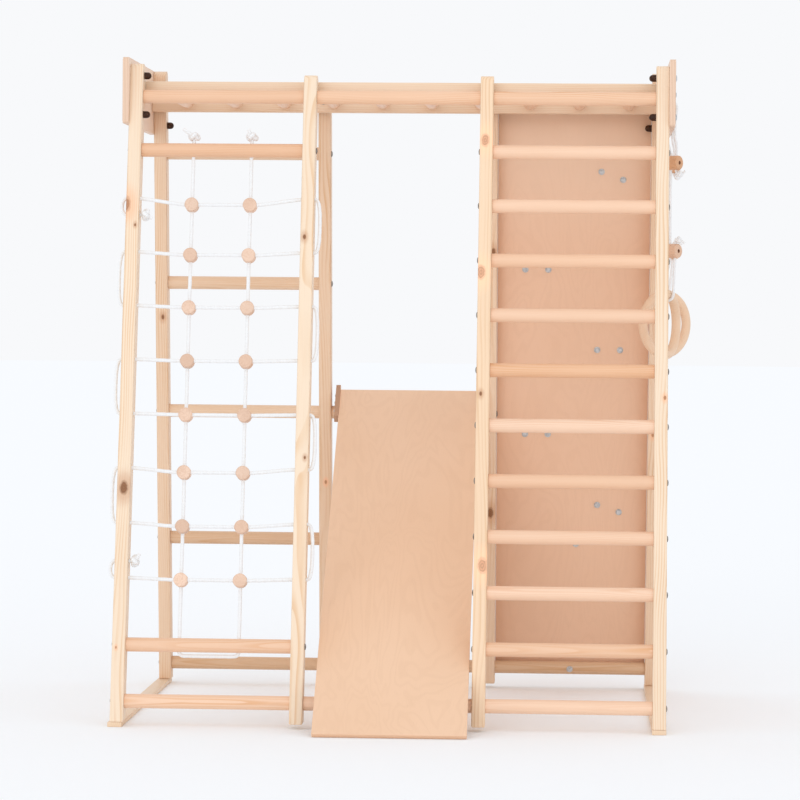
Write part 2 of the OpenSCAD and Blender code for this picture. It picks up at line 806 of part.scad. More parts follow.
function hang_hole(set) = [set[0] - mid_y, hang_z + hang_bend - 1.5];
function hang_x() = ring_hang_x - mid_x;
function mix(a, b, t) = a + (b - a) * t;

// The rope's twist is 0 where it passes through the plate, 1 at the toggles, 2 at the ring
function rope_turn(set, twist) =
    twist < 1 ? twist * toggle_turn : mix(toggle_turn, set[1] - 90, twist - 1);

// A route point is [across, height, twist]
function ring_point(set, p) =
    let (turn = rope_turn(set, p[2]), mid = mix(toggle_shift, ring_shift, max(p[2] - 1, 0)))
    [hang_x() + mid + p[0] * cos(turn), set[0] - mid_y + p[0] * sin(turn), p[1]];

function ring_ref(set, p) =
    let (turn = rope_turn(set, p[2]))
    [-sin(turn), cos(turn), 0];

hang_out = hang_bend - toggle_shift;
hang_in = -hang_bend - toggle_shift;
toggle_reach = toggle_d / 2 + 1;
loop_high = ring_top_z + 8;

// The rope from its upper knot, through the plate, down and round the ring, to its lower knot
ring_route = concat(
    [[toggle_hole + 12, upper_toggle_z - toggle_reach - 9, 1],
     [toggle_hole + 6, upper_toggle_z - toggle_reach - 7.5, 1],
     [toggle_hole + 2, upper_toggle_z - toggle_reach - 4, 1],
     [toggle_hole, upper_toggle_z - toggle_reach + 2, 1],
     [toggle_hole, upper_toggle_z + toggle_reach, 1],
     [toggle_hole, 1462, 0.5],
     [hang_out - 4, 1490, 0], [hang_out - 3, 1530, 0]],
    [for (a = [0:45:180]) [-toggle_shift + hang_bend * cos(a), hang_z + hang_bend * sin(a), 0]],
    [[hang_in + 2, 1520, 0], [hang_in + 4, 1490, 0.15], [-toggle_hole - 5, 1462, 0.5],
     [-toggle_hole, upper_toggle_z + toggle_reach, 1],
     [-toggle_hole, upper_toggle_z - toggle_reach, 1],
     [-toggle_hole, lower_toggle_z + toggle_reach, 1],
     [-toggle_hole, lower_toggle_z - toggle_reach, 1],
     [-toggle_hole - 1, 1155, 1.15], [-toggle_hole - 4, 1135, 1.45], [-toggle_hole - 8, 1114, 1.8],
     [-ring_loop, loop_high, 2]],
    [for (a = [180:30:360]) [ring_loop * cos(a), ring_top_z + ring_loop * sin(a), 2]],
    [[ring_loop, loop_high, 2], [toggle_hole + 8, 1114, 1.8], [toggle_hole + 4, 1135, 1.45],
     [toggle_hole + 1, 1155, 1.15],
     [toggle_hole, lower_toggle_z - toggle_reach, 1],
     [toggle_hole, lower_toggle_z + toggle_reach - 2, 1],
     [toggle_hole + 2, lower_toggle_z + toggle_reach + 4, 1],
     [toggle_hole + 6, lower_toggle_z + toggle_reach + 7.5, 1],
     [toggle_hole + 12, lower_toggle_z + toggle_reach + 9, 1]]);

module ring_rope(set) {
    route = [for (p = ring_route) ring_point(set, p)];
    color(rope_white) {
        rope(route, [for (p = ring_route) ring_ref(set, p)], ring_rope_d);
        for (p = [route[0], route[len(route) - 1]])
            translate(p) sphere(d = ring_knot_d);
    }
}

// Two wooden toggles: short cylinders with two upright holes, and a dimple in one end
module ring_toggles(set) {
    color(beech) for (z = [upper_toggle_z, lower_toggle_z])
        translate([hang_x() + toggle_shift, set[0] - mid_y, z]) rotate([0, 0, toggle_turn]) difference() {
            rotate([0, 90, 0]) cylinder(d = toggle_d, h = toggle_len, center = true);
            for (side = [-1, 1])
                translate([side * toggle_hole, 0, 0])
                    cylinder(d = ring_rope_d + 2 * bore_play, h = toggle_d + 2, center = true);
            translate([toggle_len / 2 - dimple_depth, 0, 0]) rotate([0, 90, 0])
                cylinder(d = dimple_d, h = dimple_depth + 1);
        }
}

module gym_ring(set) {
    color(beech) translate([hang_x() + ring_shift, set[0] - mid_y, ring_z]) rotate([90, 0, set[1]])
        rotate_extrude() translate([ring_r, 0]) circle(d = ring_t);
}

// ---------------------------------------------------------------- the object

for (i = [0:3]) {
    front_leg(i);
    rear_leg(i);
}
foot_board(0, -4);  // foot_board_left
foot_board(3, 0);  // foot_board_right
gusset_plate(-1);  // gusset_plate_left
gusset_plate(1);  // gusset_plate_right
monkey_rail(true);  // monkey_rail_front
monkey_rail(false);  // monkey_rail_rear
for (i = [1:monkey_count])
    monkey_rung(i);
for (level = [1:rung_count])
    ladder_rung(level);
top_dowels();
net_bay_bars();
slide_bay_bar();
rear_bars();
slide_bar();
climbing_panel();
climbing_holds();
panel_bolts();
slide_board();
slide_hook(-1);  // slide_hook_left
slide_hook(1);  // slide_hook_right
slide_screws();
net_rope_across();
net_rope_upright();
net_discs();
ring_rope(ring_sets[0]);  // ring_rope_front
ring_rope(ring_sets[1]);  // ring_rope_rear
ring_toggles(ring_sets[0]);  // ring_toggles_front
ring_toggles(ring_sets[1]);  // ring_toggles_rear
gym_ring(ring_sets[0]);  // ring_front
gym_ring(ring_sets[1]);  // ring_rear
frame_bolts();
cap_nuts();
rung_bolts();
rung_inserts();
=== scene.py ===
"""Looks of the wooden climbing frame with monkey bars, net, slide, ladder, panel and gym rings.

Everything is in metres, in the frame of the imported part: X across the bays, Y from the front legs
to the rear legs, Z up from the floor.
"""
from math import cos, pi, radians, sin, sqrt, tan

import bmesh
import bpy
from mathutils import Matrix, Vector, noise


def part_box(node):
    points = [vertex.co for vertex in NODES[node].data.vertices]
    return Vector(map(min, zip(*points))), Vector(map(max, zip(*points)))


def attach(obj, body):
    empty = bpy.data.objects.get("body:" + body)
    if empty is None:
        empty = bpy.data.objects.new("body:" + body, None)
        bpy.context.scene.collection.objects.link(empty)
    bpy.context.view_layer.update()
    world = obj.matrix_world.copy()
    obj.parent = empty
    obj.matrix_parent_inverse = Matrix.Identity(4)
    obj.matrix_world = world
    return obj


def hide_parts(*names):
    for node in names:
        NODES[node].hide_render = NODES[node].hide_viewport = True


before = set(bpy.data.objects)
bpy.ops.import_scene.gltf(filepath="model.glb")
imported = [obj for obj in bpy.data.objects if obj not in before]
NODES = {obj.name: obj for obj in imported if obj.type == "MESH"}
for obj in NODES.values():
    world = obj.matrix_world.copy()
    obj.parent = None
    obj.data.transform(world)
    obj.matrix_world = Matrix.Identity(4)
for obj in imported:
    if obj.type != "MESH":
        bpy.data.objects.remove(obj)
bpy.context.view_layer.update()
MM = 0.001
X_AXIS = Vector((1, 0, 0))
Y_AXIS = Vector((0, 1, 0))
Z_AXIS = Vector((0, 0, 1))

# ---- sizes, as in the part's source

FRONT_LEAN = radians(10.8)
REAR_LEAN = radians(7.2)
FOOT_SPREAD = 978 * MM
LEG_W = 33 * MM
LEG_D = 50 * MM
LEG_ROUND = 14 * MM
FOOT_T = 12 * MM
RUNG_D = 35 * MM
RUNG_PITCH = 140 * MM
RUNG_FOOT = 50 * MM
RUNG_COUNT = 11
RUNG_HEAD_D = 16 * MM
RUNG_HEAD_H = 3.5 * MM
RUNG_KEY = 4 * MM            # width of the hexagon socket
RUNG_BOLT_D = 6 * MM
RUNG_BOLT_GRIP = 22 * MM     # how far a rung bolt reaches into the rung's end
MONKEY_RUNGS = 10
FRAME_BOLT_D = 8 * MM
FRAME_HEAD_D = 18 * MM
FRAME_HEAD_H = 4.5 * MM
FRAME_KEY = 6 * MM
PLATE_BOLT_LEN = 57 * MM
PLATE_TO_RAIL_LEN = 47 * MM
RAIL_HEAD_D = 14 * MM
RAIL_KEY = 5 * MM
RAIL_TO_LEG_LEN = 51 * MM
BAR_COUNT = 5
BAR_PITCH = 352 * MM
BAR_FOOT = 45.5 * MM
PANEL_BAR_LEVEL = 0.63
FRONT_LEVELS = [[0, 1, 10, 11], [0, 11], list(range(RUNG_COUNT + 1))]
REAR_LEVELS = [[1, 2, 3, 4, 5], [3, 5], [PANEL_BAR_LEVEL, 5]]
PLATE_T = 15 * MM
PLATE_ROUND = 6 * MM
PLATE_BOLT_Z = [1527 * MM, 1627 * MM]
RAIL_Z = 1588 * MM
NET_PITCH = 138 * MM
NET_ROPE_D = 10 * MM
NET_SAG = [15, 7, 4, 3, 2, 10, 8, 4]
NET_ROWS = len(NET_SAG)
NET_LAYER = 5.7 * MM
DISC_D = 35 * MM
DISC_T = 30 * MM
SLIDE_SLOPE = radians(38)
SLIDE_SKEW = radians(0.5)
SLIDE_LEN = 1314 * MM
SLIDE_W = 376 * MM
SLIDE_T = 12 * MM
HOOK_T = 12 * MM
HOOK_LEN = 110 * MM
SCREW_PLACES = [26 * MM, 60 * MM, 90 * MM]
SCREW_D = 4 * MM
SCREW_HEAD_D = 8 * MM
SCREW_HEAD_H = 2 * MM
SCREW_KEY = 3.5 * MM
SCREW_LEN = 50 * MM
PANEL_W = 410 * MM
PANEL_T = 12 * MM
PANEL_LOW = 30 * MM
PANEL_HIGH = 1600 * MM
HOLD_BOLT_GAP = 62 * MM
PANEL_BOLT_D = 8 * MM
HOLD_BOLT_LEN = 32 * MM
WASHER_D = 17 * MM
WASHER_T = 1.6 * MM
HEX_ACROSS = 11 * MM
HEX_HEIGHT = 5 * MM
RING_D = 180 * MM
RING_T = 24 * MM
RING_ROPE_D = 8 * MM
TOGGLE_D = 37 * MM
TOGGLE_LEN = 38 * MM
TOGGLE_TURN = radians(-35)
UPPER_TOGGLE_Z = 1420 * MM
LOWER_TOGGLE_Z = 1193 * MM

# ---- places, from the frame


def middle(node):
    low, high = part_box(node)
    return (low + high) / 2


LEG_X = [middle(f"front_leg_{i}").x for i in (1, 2, 3, 4)]
FRONT_FOOT_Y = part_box("foot_board_right")[0].y + LEG_D / 2 + 1 * MM
REAR_FOOT_Y = FRONT_FOOT_Y + FOOT_SPREAD
HANG_X = middle("gusset_plate_right").x
RING_Y = {"front": FRONT_FOOT_Y + 450 * MM, "rear": FRONT_FOOT_Y + 650 * MM}
RING_TURN = {"front": radians(70), "rear": radians(42)}


def front_point(x, along, behind=0.0):
    """A place on the middle line of the front legs, and a distance behind their plane."""
    y = FRONT_FOOT_Y + along * sin(FRONT_LEAN) + behind * cos(FRONT_LEAN)
    z = FOOT_T + along * cos(FRONT_LEAN) - behind * sin(FRONT_LEAN)
    return Vector((x, y, z))


def rear_point(x, along, behind=0.0):
    y = REAR_FOOT_Y - along * sin(REAR_LEAN) + behind * cos(REAR_LEAN)
    z = FOOT_T + along * cos(REAR_LEAN) + behind * sin(REAR_LEAN)
    return Vector((x, y, z))


def rung_along(level):
    return RUNG_FOOT + (RUNG_COUNT - level) * RUNG_PITCH


def bar_along(level):
    return BAR_FOOT + (BAR_COUNT - level) * BAR_PITCH


NET_TOP = rung_along(1) - 128 * MM


def row_along(row):
    return NET_TOP - row * NET_PITCH


NET_COLUMNS = [LEG_X[0] + (LEG_X[1] - LEG_X[0]) * share for share in (1 / 3, 2 / 3)]
FRONT_UP = Vector((0, sin(FRONT_LEAN), cos(FRONT_LEAN)))
REAR_UP = Vector((0, -sin(REAR_LEAN), cos(REAR_LEAN)))

# ---- camera, floor and light

CAMERA_PLACE = (0.4324, -8.5867, 1.0263)
CAMERA_TURN = 0.0531       # to the left, in radians
CAMERA_TILT = -0.0260      # down
CAMERA_ROLL = 0.0087
CAMERA_LENS = 149.9        # on a sensor 36 mm wide
SKY = (0.939, 0.947, 0.965)


def make_camera():
    data = bpy.data.cameras.new("camera")
    data.sensor_width = 36
    data.lens = CAMERA_LENS
    data.clip_end = 200
    camera = bpy.data.objects.new("camera", data)
    turn = Matrix.Rotation(CAMERA_TURN, 4, "Z")
    tilt = Matrix.Rotation(pi / 2 + CAMERA_TILT, 4, "X")
    roll = Matrix.Rotation(CAMERA_ROLL, 4, "Z")
    camera.matrix_world = Matrix.Translation(CAMERA_PLACE) @ turn @ tilt @ roll
    bpy.context.scene.collection.objects.link(camera)
    bpy.context.scene.camera = camera


def make_sun(name, direction, strength, angle):
    data = bpy.data.lights.new(name, "SUN")
    data.energy = strength
    data.angle = radians(angle)
    data.color = (1.0, 0.985, 0.96)
    sun = bpy.data.objects.new(name, data)
    sun.rotation_euler = Vector(direction).to_track_quat("-Z", "Y").to_euler()
    bpy.context.scene.collection.objects.link(sun)


def make_stage():
    """A wide pale floor, an even pale sky and two soft lights from the front."""
    mesh = bpy.data.meshes.new("floor")
    builder = bmesh.new()
    bmesh.ops.create_circle(builder, cap_ends=True, radius=60, segments=96)
    builder.to_mesh(mesh)
    builder.free()
    floor = bpy.data.objects.new("floor", mesh)
    bpy.context.scene.collection.objects.link(floor)
    floor.data.materials.append(floor_material())
    world = bpy.data.worlds.new("studio")
    world.use_nodes = True
    background = world.node_tree.nodes["Background"]
    background.inputs["Color"].default_value = (*SKY, 1)
    background.inputs["Strength"].default_value = 1.0
    bpy.context.scene.world = world
    make_sun("key_light", (0.28, 0.96, -0.13), 0.61, 40)
    make_sun("fill_light", (-0.55, 0.8, -0.10), 0.20, 60)
    bpy.context.scene.view_settings.view_transform = "Standard"


# ---- material helpers


class Nodes:
    """Shorthand for building one material's node tree."""

    def __init__(self, name):
        self.material = bpy.data.materials.new(name)
        self.material.use_nodes = True
        self.tree = self.material.node_tree
        self.shader = self.tree.nodes["Principled BSDF"]

    def put(self, target, value):
        """Feeds a socket from another socket, or sets it to a plain value."""
        if hasattr(value, "is_linked"):
            self.tree.links.new(value, target)
        else:
            target.default_value = value

    def add(self, kind, inputs=None, **settings):
        """A node with these settings and inputs. Returns its outputs."""
        node = self.tree.nodes.new("ShaderNode" + kind)
        for key, value in settings.items():
            setattr(node, key, value)
        for key, value in (inputs or {}).items():
            self.put(node.inputs[key], value)
        return node.outputs

    def math(self, operation, a, b=0.0):
        return self.add("Math", {0: a, 1: b}, operation=operation)[0]

    def times(self, a, b):
        return self.math("MULTIPLY", a, b)

    def plus(self, a, b):
        return self.math("ADD", a, b)

    def vector_math(self, operation, a, b=(0, 0, 0)):
        return self.add("VectorMath", {0: a, 1: b}, operation=operation)

    def parts(self, vector):
        return self.add("SeparateXYZ", {0: vector})

    def place(self):
        return self.add("TexCoord")["Object"]

    def mapped(self, vector, scale=(1, 1, 1), rotation=(0, 0, 0), location=(0, 0, 0)):
        inputs = {"Vector": vector, "Scale": scale, "Rotation": rotation, "Location": location}
        return self.add("Mapping", inputs)["Vector"]

    def noise(self, vector, scale, detail=2.0, roughness=0.5, distortion=0.0):
        inputs = {"Vector": vector, "Scale": scale, "Detail": detail, "Roughness": roughness,
                  "Distortion": distortion}
        return self.add("TexNoise", inputs)["Fac"]

    def mix(self, factor, a, b):
        inputs = {"Factor": factor, "A": rgba(a), "B": rgba(b)}
        return self.add("Mix", inputs, data_type="RGBA")["Result"]

    def ramp(self, factor, low, high):
        """0 below low, 1 above high, smooth between."""
        inputs = {"Value": factor, "From Min": low, "From Max": high}
        return self.add("MapRange", inputs, interpolation_type="SMOOTHSTEP")["Result"]

    def stain(self, colour, pattern, low, high, amount, other):
        """Lets another colour show, by that amount, where the pattern rises from low to high."""
        return self.mix(self.times(self.ramp(pattern, low, high), amount), colour, other)

    def finish(self, colour, roughness, height, depth, strength, others=()):
        """Feeds the shader and returns the material. height is its relief, depth the relief's in mm."""
        bump = self.add("Bump", {"Height": height, "Distance": depth * MM, "Strength": strength})
        inputs = {"Base Color": rgba(colour), "Roughness": roughness, "Normal": bump["Normal"]}
        for key, value in (inputs | dict(others)).items():
            self.put(self.shader.inputs[key], value)
        return self.material


def rgba(value):
    return (*value, 1) if isinstance(value, tuple) and len(value) == 3 else value


def shifted(colour, light, warm=0.0):
    """A colour made lighter or darker, and warmer by taking blue away."""
    return (colour[0] * light, colour[1] * light * (1 - warm / 2), colour[2] * light * (1 - warm))


def turn_to_z(direction):
    """The rotation that carries a direction onto +Z, for laying grain along a piece."""
    return Vector(direction).rotation_difference(Z_AXIS).to_euler()


# ---- wood


def knot(n, place, colour, at, size, along, dark):
    """A branch knot: a dark ringed oval drawn out along the grain."""
    offset = n.vector_math("SUBTRACT", place, at)["Vector"]
    local = n.mapped(offset, rotation=turn_to_z(along))
    flat = n.mapped(local, scale=(1, 1, 0.6))
    wobble = n.times(n.noise(place, 140, 2), size * 0.35)
    distance = n.plus(n.vector_math("LENGTH", flat)["Value"], wobble)
    core = n.math("SUBTRACT", 1.0, n.ramp(distance, size * 0.55, size * 1.05))
    halo = n.math("SUBTRACT", 1.0, n.ramp(distance, size * 0.9, size * 2.6))
    rings = n.math("SINE", n.times(distance, 2 * pi / (size * 0.28)))
    shade = n.times(n.ramp(rings, -1, 1), core)
    colour = n.mix(n.times(halo, 0.45), colour, shifted(dark, 1.75))
    colour = n.mix(core, colour, dark)
    return n.mix(n.times(shade, 0.45), colour, shifted(dark, 0.55))


def wood(name, pale, dark, along, seed, ring=4.5, contrast=0.5, knots=(), wave=0.045):
    """Sawn softwood or beech: growth rings cut lengthwise, fine fibres and slow changes of tone.

    ring is the rings' spacing in mm, contrast their strength and wave how far they wander, in metres.
    """
    n = Nodes(name)
    place = n.place()
    turned = n.mapped(place, rotation=turn_to_z(along))
    drawn = n.mapped(turned, scale=(1, 1, 0.16), location=(0.31 * seed, 0.17 * seed, 0.7 * seed))
    warp = n.noise(drawn, 8, 2)
    fade = n.noise(n.mapped(turned, scale=(1, 1, 0.10), location=(seed, 0.5 * seed, 0)), 26, 2)
    pith = (0.05 + 0.02 * (seed % 3), 0.035 * ((seed * 7) % 5 - 2), 0)
    squashed = n.mapped(n.mapped(turned, location=pith), scale=(1, 1, 0.004 * (seed % 4)))
    grown = n.plus(n.vector_math("LENGTH", squashed)["Value"], n.times(warp, wave))
    phase = n.math("FRACT", n.times(grown, 1000 / ring))
    late = n.times(n.ramp(phase, 0.35, 0.9), n.math("SUBTRACT", 1.0, n.ramp(phase, 0.93, 1.0)))
    fibres = n.noise(n.mapped(turned, scale=(1, 1, 0.012)), 900, 3, 0.6)
    tone = n.noise(n.mapped(turned, scale=(1, 1, 0.25), location=(seed, 0, 0)), 7, 3)
    strength = n.times(late, n.times(n.ramp(fade, 0.25, 0.75), contrast * 1.4))
    colour = n.mix(strength, pale, dark)
    colour = n.stain(colour, tone, 0.35, 0.75, 0.30, shifted(pale, 0.90, 0.12))
    colour = n.stain(colour, fibres, 0.5, 0.8, 0.22, shifted(dark, 0.92))
    for at, size, tint in knots:
        colour = knot(n, place, colour, at, size, along, tint)
    rough = n.plus(n.times(fibres, 0.16), 0.36)
    relief = n.plus(n.times(fibres, 0.6), n.times(late, 0.4))
    return n.finish(colour, rough, relief, 0.22, 0.6, {"Specular IOR Level": 0.35})


def plywood(name, face, edge, facing, along, seed, thickness, painted_light_top=None):
    """Birch plywood: a rotary-cut face with wide soft figure, and thin layers on the cut edges.

    painted_light_top is the heights between which the veneer is painted paler, as painted light against the
    shade of the rails above.
    """
    n = Nodes(name)
    coordinates = n.add("TexCoord")
    place = coordinates["Object"]
    turned = n.mapped(place, rotation=turn_to_z(along))
    broad = n.noise(n.mapped(turned, scale=(1, 1, 0.35), location=(seed, seed, 0)), 5.5, 3, 0.5, 0.6)
    bands = n.math("SINE", n.times(broad, 130))
    figure = n.times(n.ramp(bands, -0.2, 1), 0.20)
    cloud = n.noise(n.mapped(place, location=(0, seed, 0)), 2.6, 3)
    pores = n.noise(n.mapped(turned, scale=(1, 1, 0.05)), 1100, 2, 0.7)
    colour = n.mix(figure, face, shifted(face, 0.88, 0.10))
    colour = n.stain(colour, cloud, 0.3, 0.75, 0.45, shifted(face, 0.93, 0.09))
    colour = n.stain(colour, pores, 0.58, 0.78, 0.30, shifted(face, 0.72, 0.12))
    # painted light: the face is made paler towards the top, against the shade the rails cast there
    if painted_light_top:
        colour = n.stain(colour, n.parts(place)["Z"], *painted_light_top, 0.75, PLY_PAINTED_LIGHT)
    layers = n.vector_math("DOT_PRODUCT", place, facing)["Value"]
    stripe = n.math("SINE", n.times(layers, 2 * pi / (thickness / 4)))
    cut = n.mix(n.ramp(stripe, -0.5, 0.5), edge, shifted(edge, 0.78, 0.15))
    side = n.vector_math("DOT_PRODUCT", coordinates["Normal"], facing)["Value"]
    on_face = n.ramp(n.math("ABSOLUTE", side), 0.5, 0.7)
    rough = n.plus(n.times(pores, 0.2), 0.34)
    relief = n.plus(pores, n.times(bands, 0.1))
    return n.finish(n.mix(on_face, cut, colour), rough, relief, 0.12, 0.5, {"Specular IOR Level": 0.4})


def end_grain(name, pale, dark, axis, seed):
    """A round wooden piece seen on its end: rings round a centre that sits off the middle."""
    n = Nodes(name)
    place = n.place()
    local = n.mapped(place, rotation=turn_to_z(axis), location=(0.013 * seed, 0.017 * seed, 0))
    warp = n.noise(local, 38, 2)
    band = n.math("SINE", n.times(warp, 70))
    specks = n.noise(local, 700, 2, 0.7)
    tone = n.noise(local, 9, 1)
    colour = n.stain(pale, band, -0.3, 1, 0.40, dark)
    colour = n.stain(colour, tone, 0.4, 0.6, 0.5, shifted(dark, 0.95))
    colour = n.stain(colour, specks, 0.55, 0.8, 0.25, shifted(dark, 0.75))
    return n.finish(colour, n.plus(n.times(specks, 0.2), 0.4), specks, 0.2, 0.5)


# ---- other materials


WEAVE_LENGTH = 7.5 * MM
STRANDS_ROUND = 4


def rope_material():
    """White braided cord: a diamond weave wound round it, with soft fuzz."""
    n = Nodes("white_cord")
    uv = n.parts(n.add("TexCoord")["UV"])
    along = n.times(uv["X"], 2 * pi / WEAVE_LENGTH)
    round_it = n.times(uv["Y"], 2 * pi * STRANDS_ROUND)
    one = n.math("SINE", n.plus(along, round_it))
    other = n.math("SINE", n.math("SUBTRACT", along, round_it))
    weave = n.times(one, other)
    fuzz = n.noise(n.place(), 900, 3, 0.7)
    soiled = n.noise(n.place(), 14, 2)
    # painted shade: the weave's sunk grooves between strands are coloured darker than its raised strands
    colour = n.mix(n.ramp(weave, -0.6, 0.3), (0.80, 0.81, 0.82), (0.90, 0.91, 0.92))
    colour = n.stain(colour, soiled, 0.45, 0.8, 0.15, (0.82, 0.81, 0.78))
    colour = n.mix(n.times(fuzz, 0.10), colour, (0.70, 0.71, 0.72))
    relief = n.plus(weave, n.times(fuzz, 0.5))
    return n.finish(colour, n.plus(n.times(fuzz, 0.2), 0.7), relief, 0.2, 0.5, {"Sheen Weight": 0.35})


def steel_material(name, pale, dark, rough):
    """Zinc-plated steel with dull patches and fine scratches."""
    n = Nodes(name)
    place = n.place()
    patches = n.noise(place, 120, 3)
    scratches = n.noise(n.mapped(place, scale=(1, 0.08, 1)), 1500, 2)
    colour = n.mix(n.ramp(patches, 0.35, 0.7), pale, dark)
    rough = n.plus(n.times(patches, 0.25), rough)
    return n.finish(colour, rough, scratches, 0.05, 0.4, {"Metallic": 0.9})


def cap_material():
    """Glossy black nut caps, worn brown-grey where fingers and keys touch them."""
    n = Nodes("black_cap")
    place = n.place()
    worn = n.noise(place, 160, 3)
    fine = n.noise(place, 1100, 2)
    colour = n.mix(n.ramp(worn, 0.5, 0.8), (0.040, 0.015, 0.007), (0.14, 0.060, 0.027))
    rough = n.plus(n.times(worn, 0.3), 0.26)
    return n.finish(colour, rough, fine, 0.08, 0.5, {"Specular IOR Level": 0.2})


def hold_material(name, colour):
    """Cast resin holds: coarse grip texture, with chalk in the hollows."""
    n = Nodes(name)
    place = n.place()
    grit = n.noise(place, 620, 3, 0.7)
    lumps = n.noise(place, 60, 2)
    chalk = n.times(n.ramp(lumps, 0.5, 0.75), 0.22)
    colour = n.mix(chalk, n.mix(grit, colour, shifted(colour, 0.8)), (0.8, 0.8, 0.78))
    relief = n.plus(grit, n.times(lumps, 0.5))
    return n.finish(colour, n.plus(n.times(grit, 0.25), 0.55), relief, 0.6, 0.8)


def floor_material():
    """Pale painted floor with a trace of unevenness, too weak to see from afar."""
    n = Nodes("studio_floor")
    place = n.place()
    tone = n.noise(place, 1.5, 2)
    colour = n.mix(n.times(tone, 0.02), FLOOR_COLOUR, shifted(FLOOR_COLOUR, 0.97))
    return n.finish(colour, 0.9, n.noise(place, 300, 2), 0.2, 0.2, {"Specular IOR Level": 0.0})


# ---- colours

FLOOR_COLOUR = (0.962, 0.980, 1.0)
PINE_PALE = (0.90, 0.73, 0.56)
PINE_DARK = (0.80, 0.54, 0.33)
TAN_PALE = (0.83, 0.615, 0.445)
TAN_DARK = (0.70, 0.42, 0.22)
BEECH_PALE = (0.91, 0.632, 0.456)
BEECH_DARK = (0.80, 0.45, 0.27)
ORANGE_DARK = (0.74, 0.39, 0.19)
PLY_SLIDE = (0.86, 0.585, 0.40)
PLY_PANEL = (0.82, 0.53, 0.365)
# the paler veneer colour painted on the panel's top as painted light
PLY_PAINTED_LIGHT = (0.93, 0.70, 0.53)
PLY_PLATE = (0.86, 0.66, 0.52)
PLY_EDGE = (0.84, 0.58, 0.42)
SLIDE_EDGE = (0.90, 0.60, 0.41)
HOOK_EDGE = (0.54, 0.32, 0.205)
DISC_PALE = (0.84, 0.61, 0.47)
DISC_DARK = (0.66, 0.42, 0.29)
RAIL_PALE = (0.86, 0.68, 0.51)
PLATE_EDGE = (0.86, 0.63, 0.48)
TOGGLE_UPPER = ((0.72, 0.40, 0.22), (0.48, 0.22, 0.10))
TOGGLE_LOWER = ((0.76, 0.50, 0.35), (0.56, 0.30, 0.18))
# painted shade: the dark wood colour put inside the toggles' dimples
TOGGLE_DIMPLE_SHADE = ((0.30, 0.14, 0.08), (0.20, 0.09, 0.05))
RING_WOOD = ((0.84, 0.60, 0.42), (0.72, 0.45, 0.27))
KNOT_BROWN = (0.30, 0.13, 0.055)
KNOT_RED = (0.55, 0.26, 0.13)
KNOT_PINK = (0.78, 0.42, 0.25)
HOLD_COLOURS = [(0.75, 0.10, 0.08), (0.85, 0.55, 0.05), (0.10, 0.32, 0.65),
                (0.15, 0.45, 0.15), (0.75, 0.10, 0.08), (0.85, 0.55, 0.05)]

# ---- mesh helpers


def new_piece(node, kind, builder, materials, body="frame", stands_in=True):
    """Turns a bmesh into a piece, named for a CAD node, that rides on a body and stands in for it."""
    name = f"{node}_{kind}"
    mesh = bpy.data.meshes.new(name)
    bmesh.ops.recalc_face_normals(builder, faces=builder.faces)
    builder.to_mesh(mesh)
    builder.free()
    piece = bpy.data.objects.new(name, mesh)
    bpy.context.scene.collection.objects.link(piece)
    for material in materials:
        mesh.materials.append(material)
    mesh.polygons.foreach_set("use_smooth", [True] * len(mesh.polygons))
    mesh.set_sharp_from_angle(angle=radians(32))
    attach(piece, body)
    if stands_in:
        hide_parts(node)
    return piece


def arc(centre, radius, start, end, steps=6):
    """Points of an arc, for outlines; angles in degrees."""
    angles = [radians(start + (end - start) * i / steps) for i in range(steps + 1)]
    return [(centre[0] + radius * cos(a), centre[1] + radius * sin(a)) for a in angles]


def rectangle(width, height, left=0.0):
    return [(left, 0), (left + width, 0), (left + width, height), (left, height)]


def prism(builder, outline, depth, matrix, edge, segments=2):
    """A flat outline given thickness along its own +Z, with its edges eased, put in place by matrix."""
    front = [builder.verts.new((x, y, 0)) for x, y in outline]
    back = [builder.verts.new((x, y, depth)) for x, y in outline]
    faces = [builder.faces.new(front[::-1]), builder.faces.new(back)]
    count = len(outline)
    for i in range(count):
        j = (i + 1) % count
        faces.append(builder.faces.new((front[i], front[j], back[j], back[i])))
    builder.verts.ensure_lookup_table()
    edges = {e for f in faces[:2] for e in f.edges}
    for i in range(count):
        before = Vector(outline[i]) - Vector(outline[i - 1])
        after = Vector(outline[(i + 1) % count]) - Vector(outline[i])
        if before.angle(after) > radians(40):
            edges.add(builder.edges.get((front[i], back[i])))
    bmesh.ops.bevel(builder, geom=list(edges), offset=edge, segments=segments,
                    profile=0.5, affect="EDGES", clamp_overlap=True)
    bmesh.ops.transform(builder, matrix=matrix, verts=builder.verts)


def axes(origin, x, y, z):
    """A matrix that puts a local frame with these axes at the origin."""
    matrix = Matrix((x, y, z)).transposed().to_4x4()
    matrix.translation = origin
    return matrix


def facing(origin, direction):
    """A matrix that puts local +Z along a direction."""
    turn = Z_AXIS.rotation_difference(Vector(direction)).to_matrix().to_4x4()
    return Matrix.Translation(origin) @ turn


def hexagon(angle, across):
    """Radius of a hexagon of that width across its flats, at an angle."""
    return across / 2 / cos((angle + pi / 6) % (pi / 3) - pi / 6)


def angles_round(count):
    return [2 * pi * i / count for i in range(count)]


def join_loops(builder, low, high, material=0):
    """Faces between two loops of points. A loop of one point is a tip."""
    sides = max(len(low), len(high))
    for i in range(sides):
        j = (i + 1) % sides
        corners = [low[i % len(low)], low[j % len(low)], high[j % len(high)], high[i % len(high)]]
        corners = list(dict.fromkeys(corners))
        if len(corners) > 2:
            builder.faces.new(corners).material_index = material


def lathe(builder, profile, matrix, sides=28, material=0):
    """Turns (radius, height) pairs round +Z. A radius given as a function makes a shaped ring."""
    loops = []
    for radius, height in profile:
        if radius == 0:
            loops.append([builder.verts.new(matrix @ Vector((0, 0, height)))])
            continue
        loop = []
        for a in angles_round(sides):
            r = radius(a) if callable(radius) else radius
            loop.append(builder.verts.new(matrix @ Vector((r * cos(a), r * sin(a), height))))
        loops.append(loop)
    for low, high in zip(loops, loops[1:]):
        join_loops(builder, low, high, material)


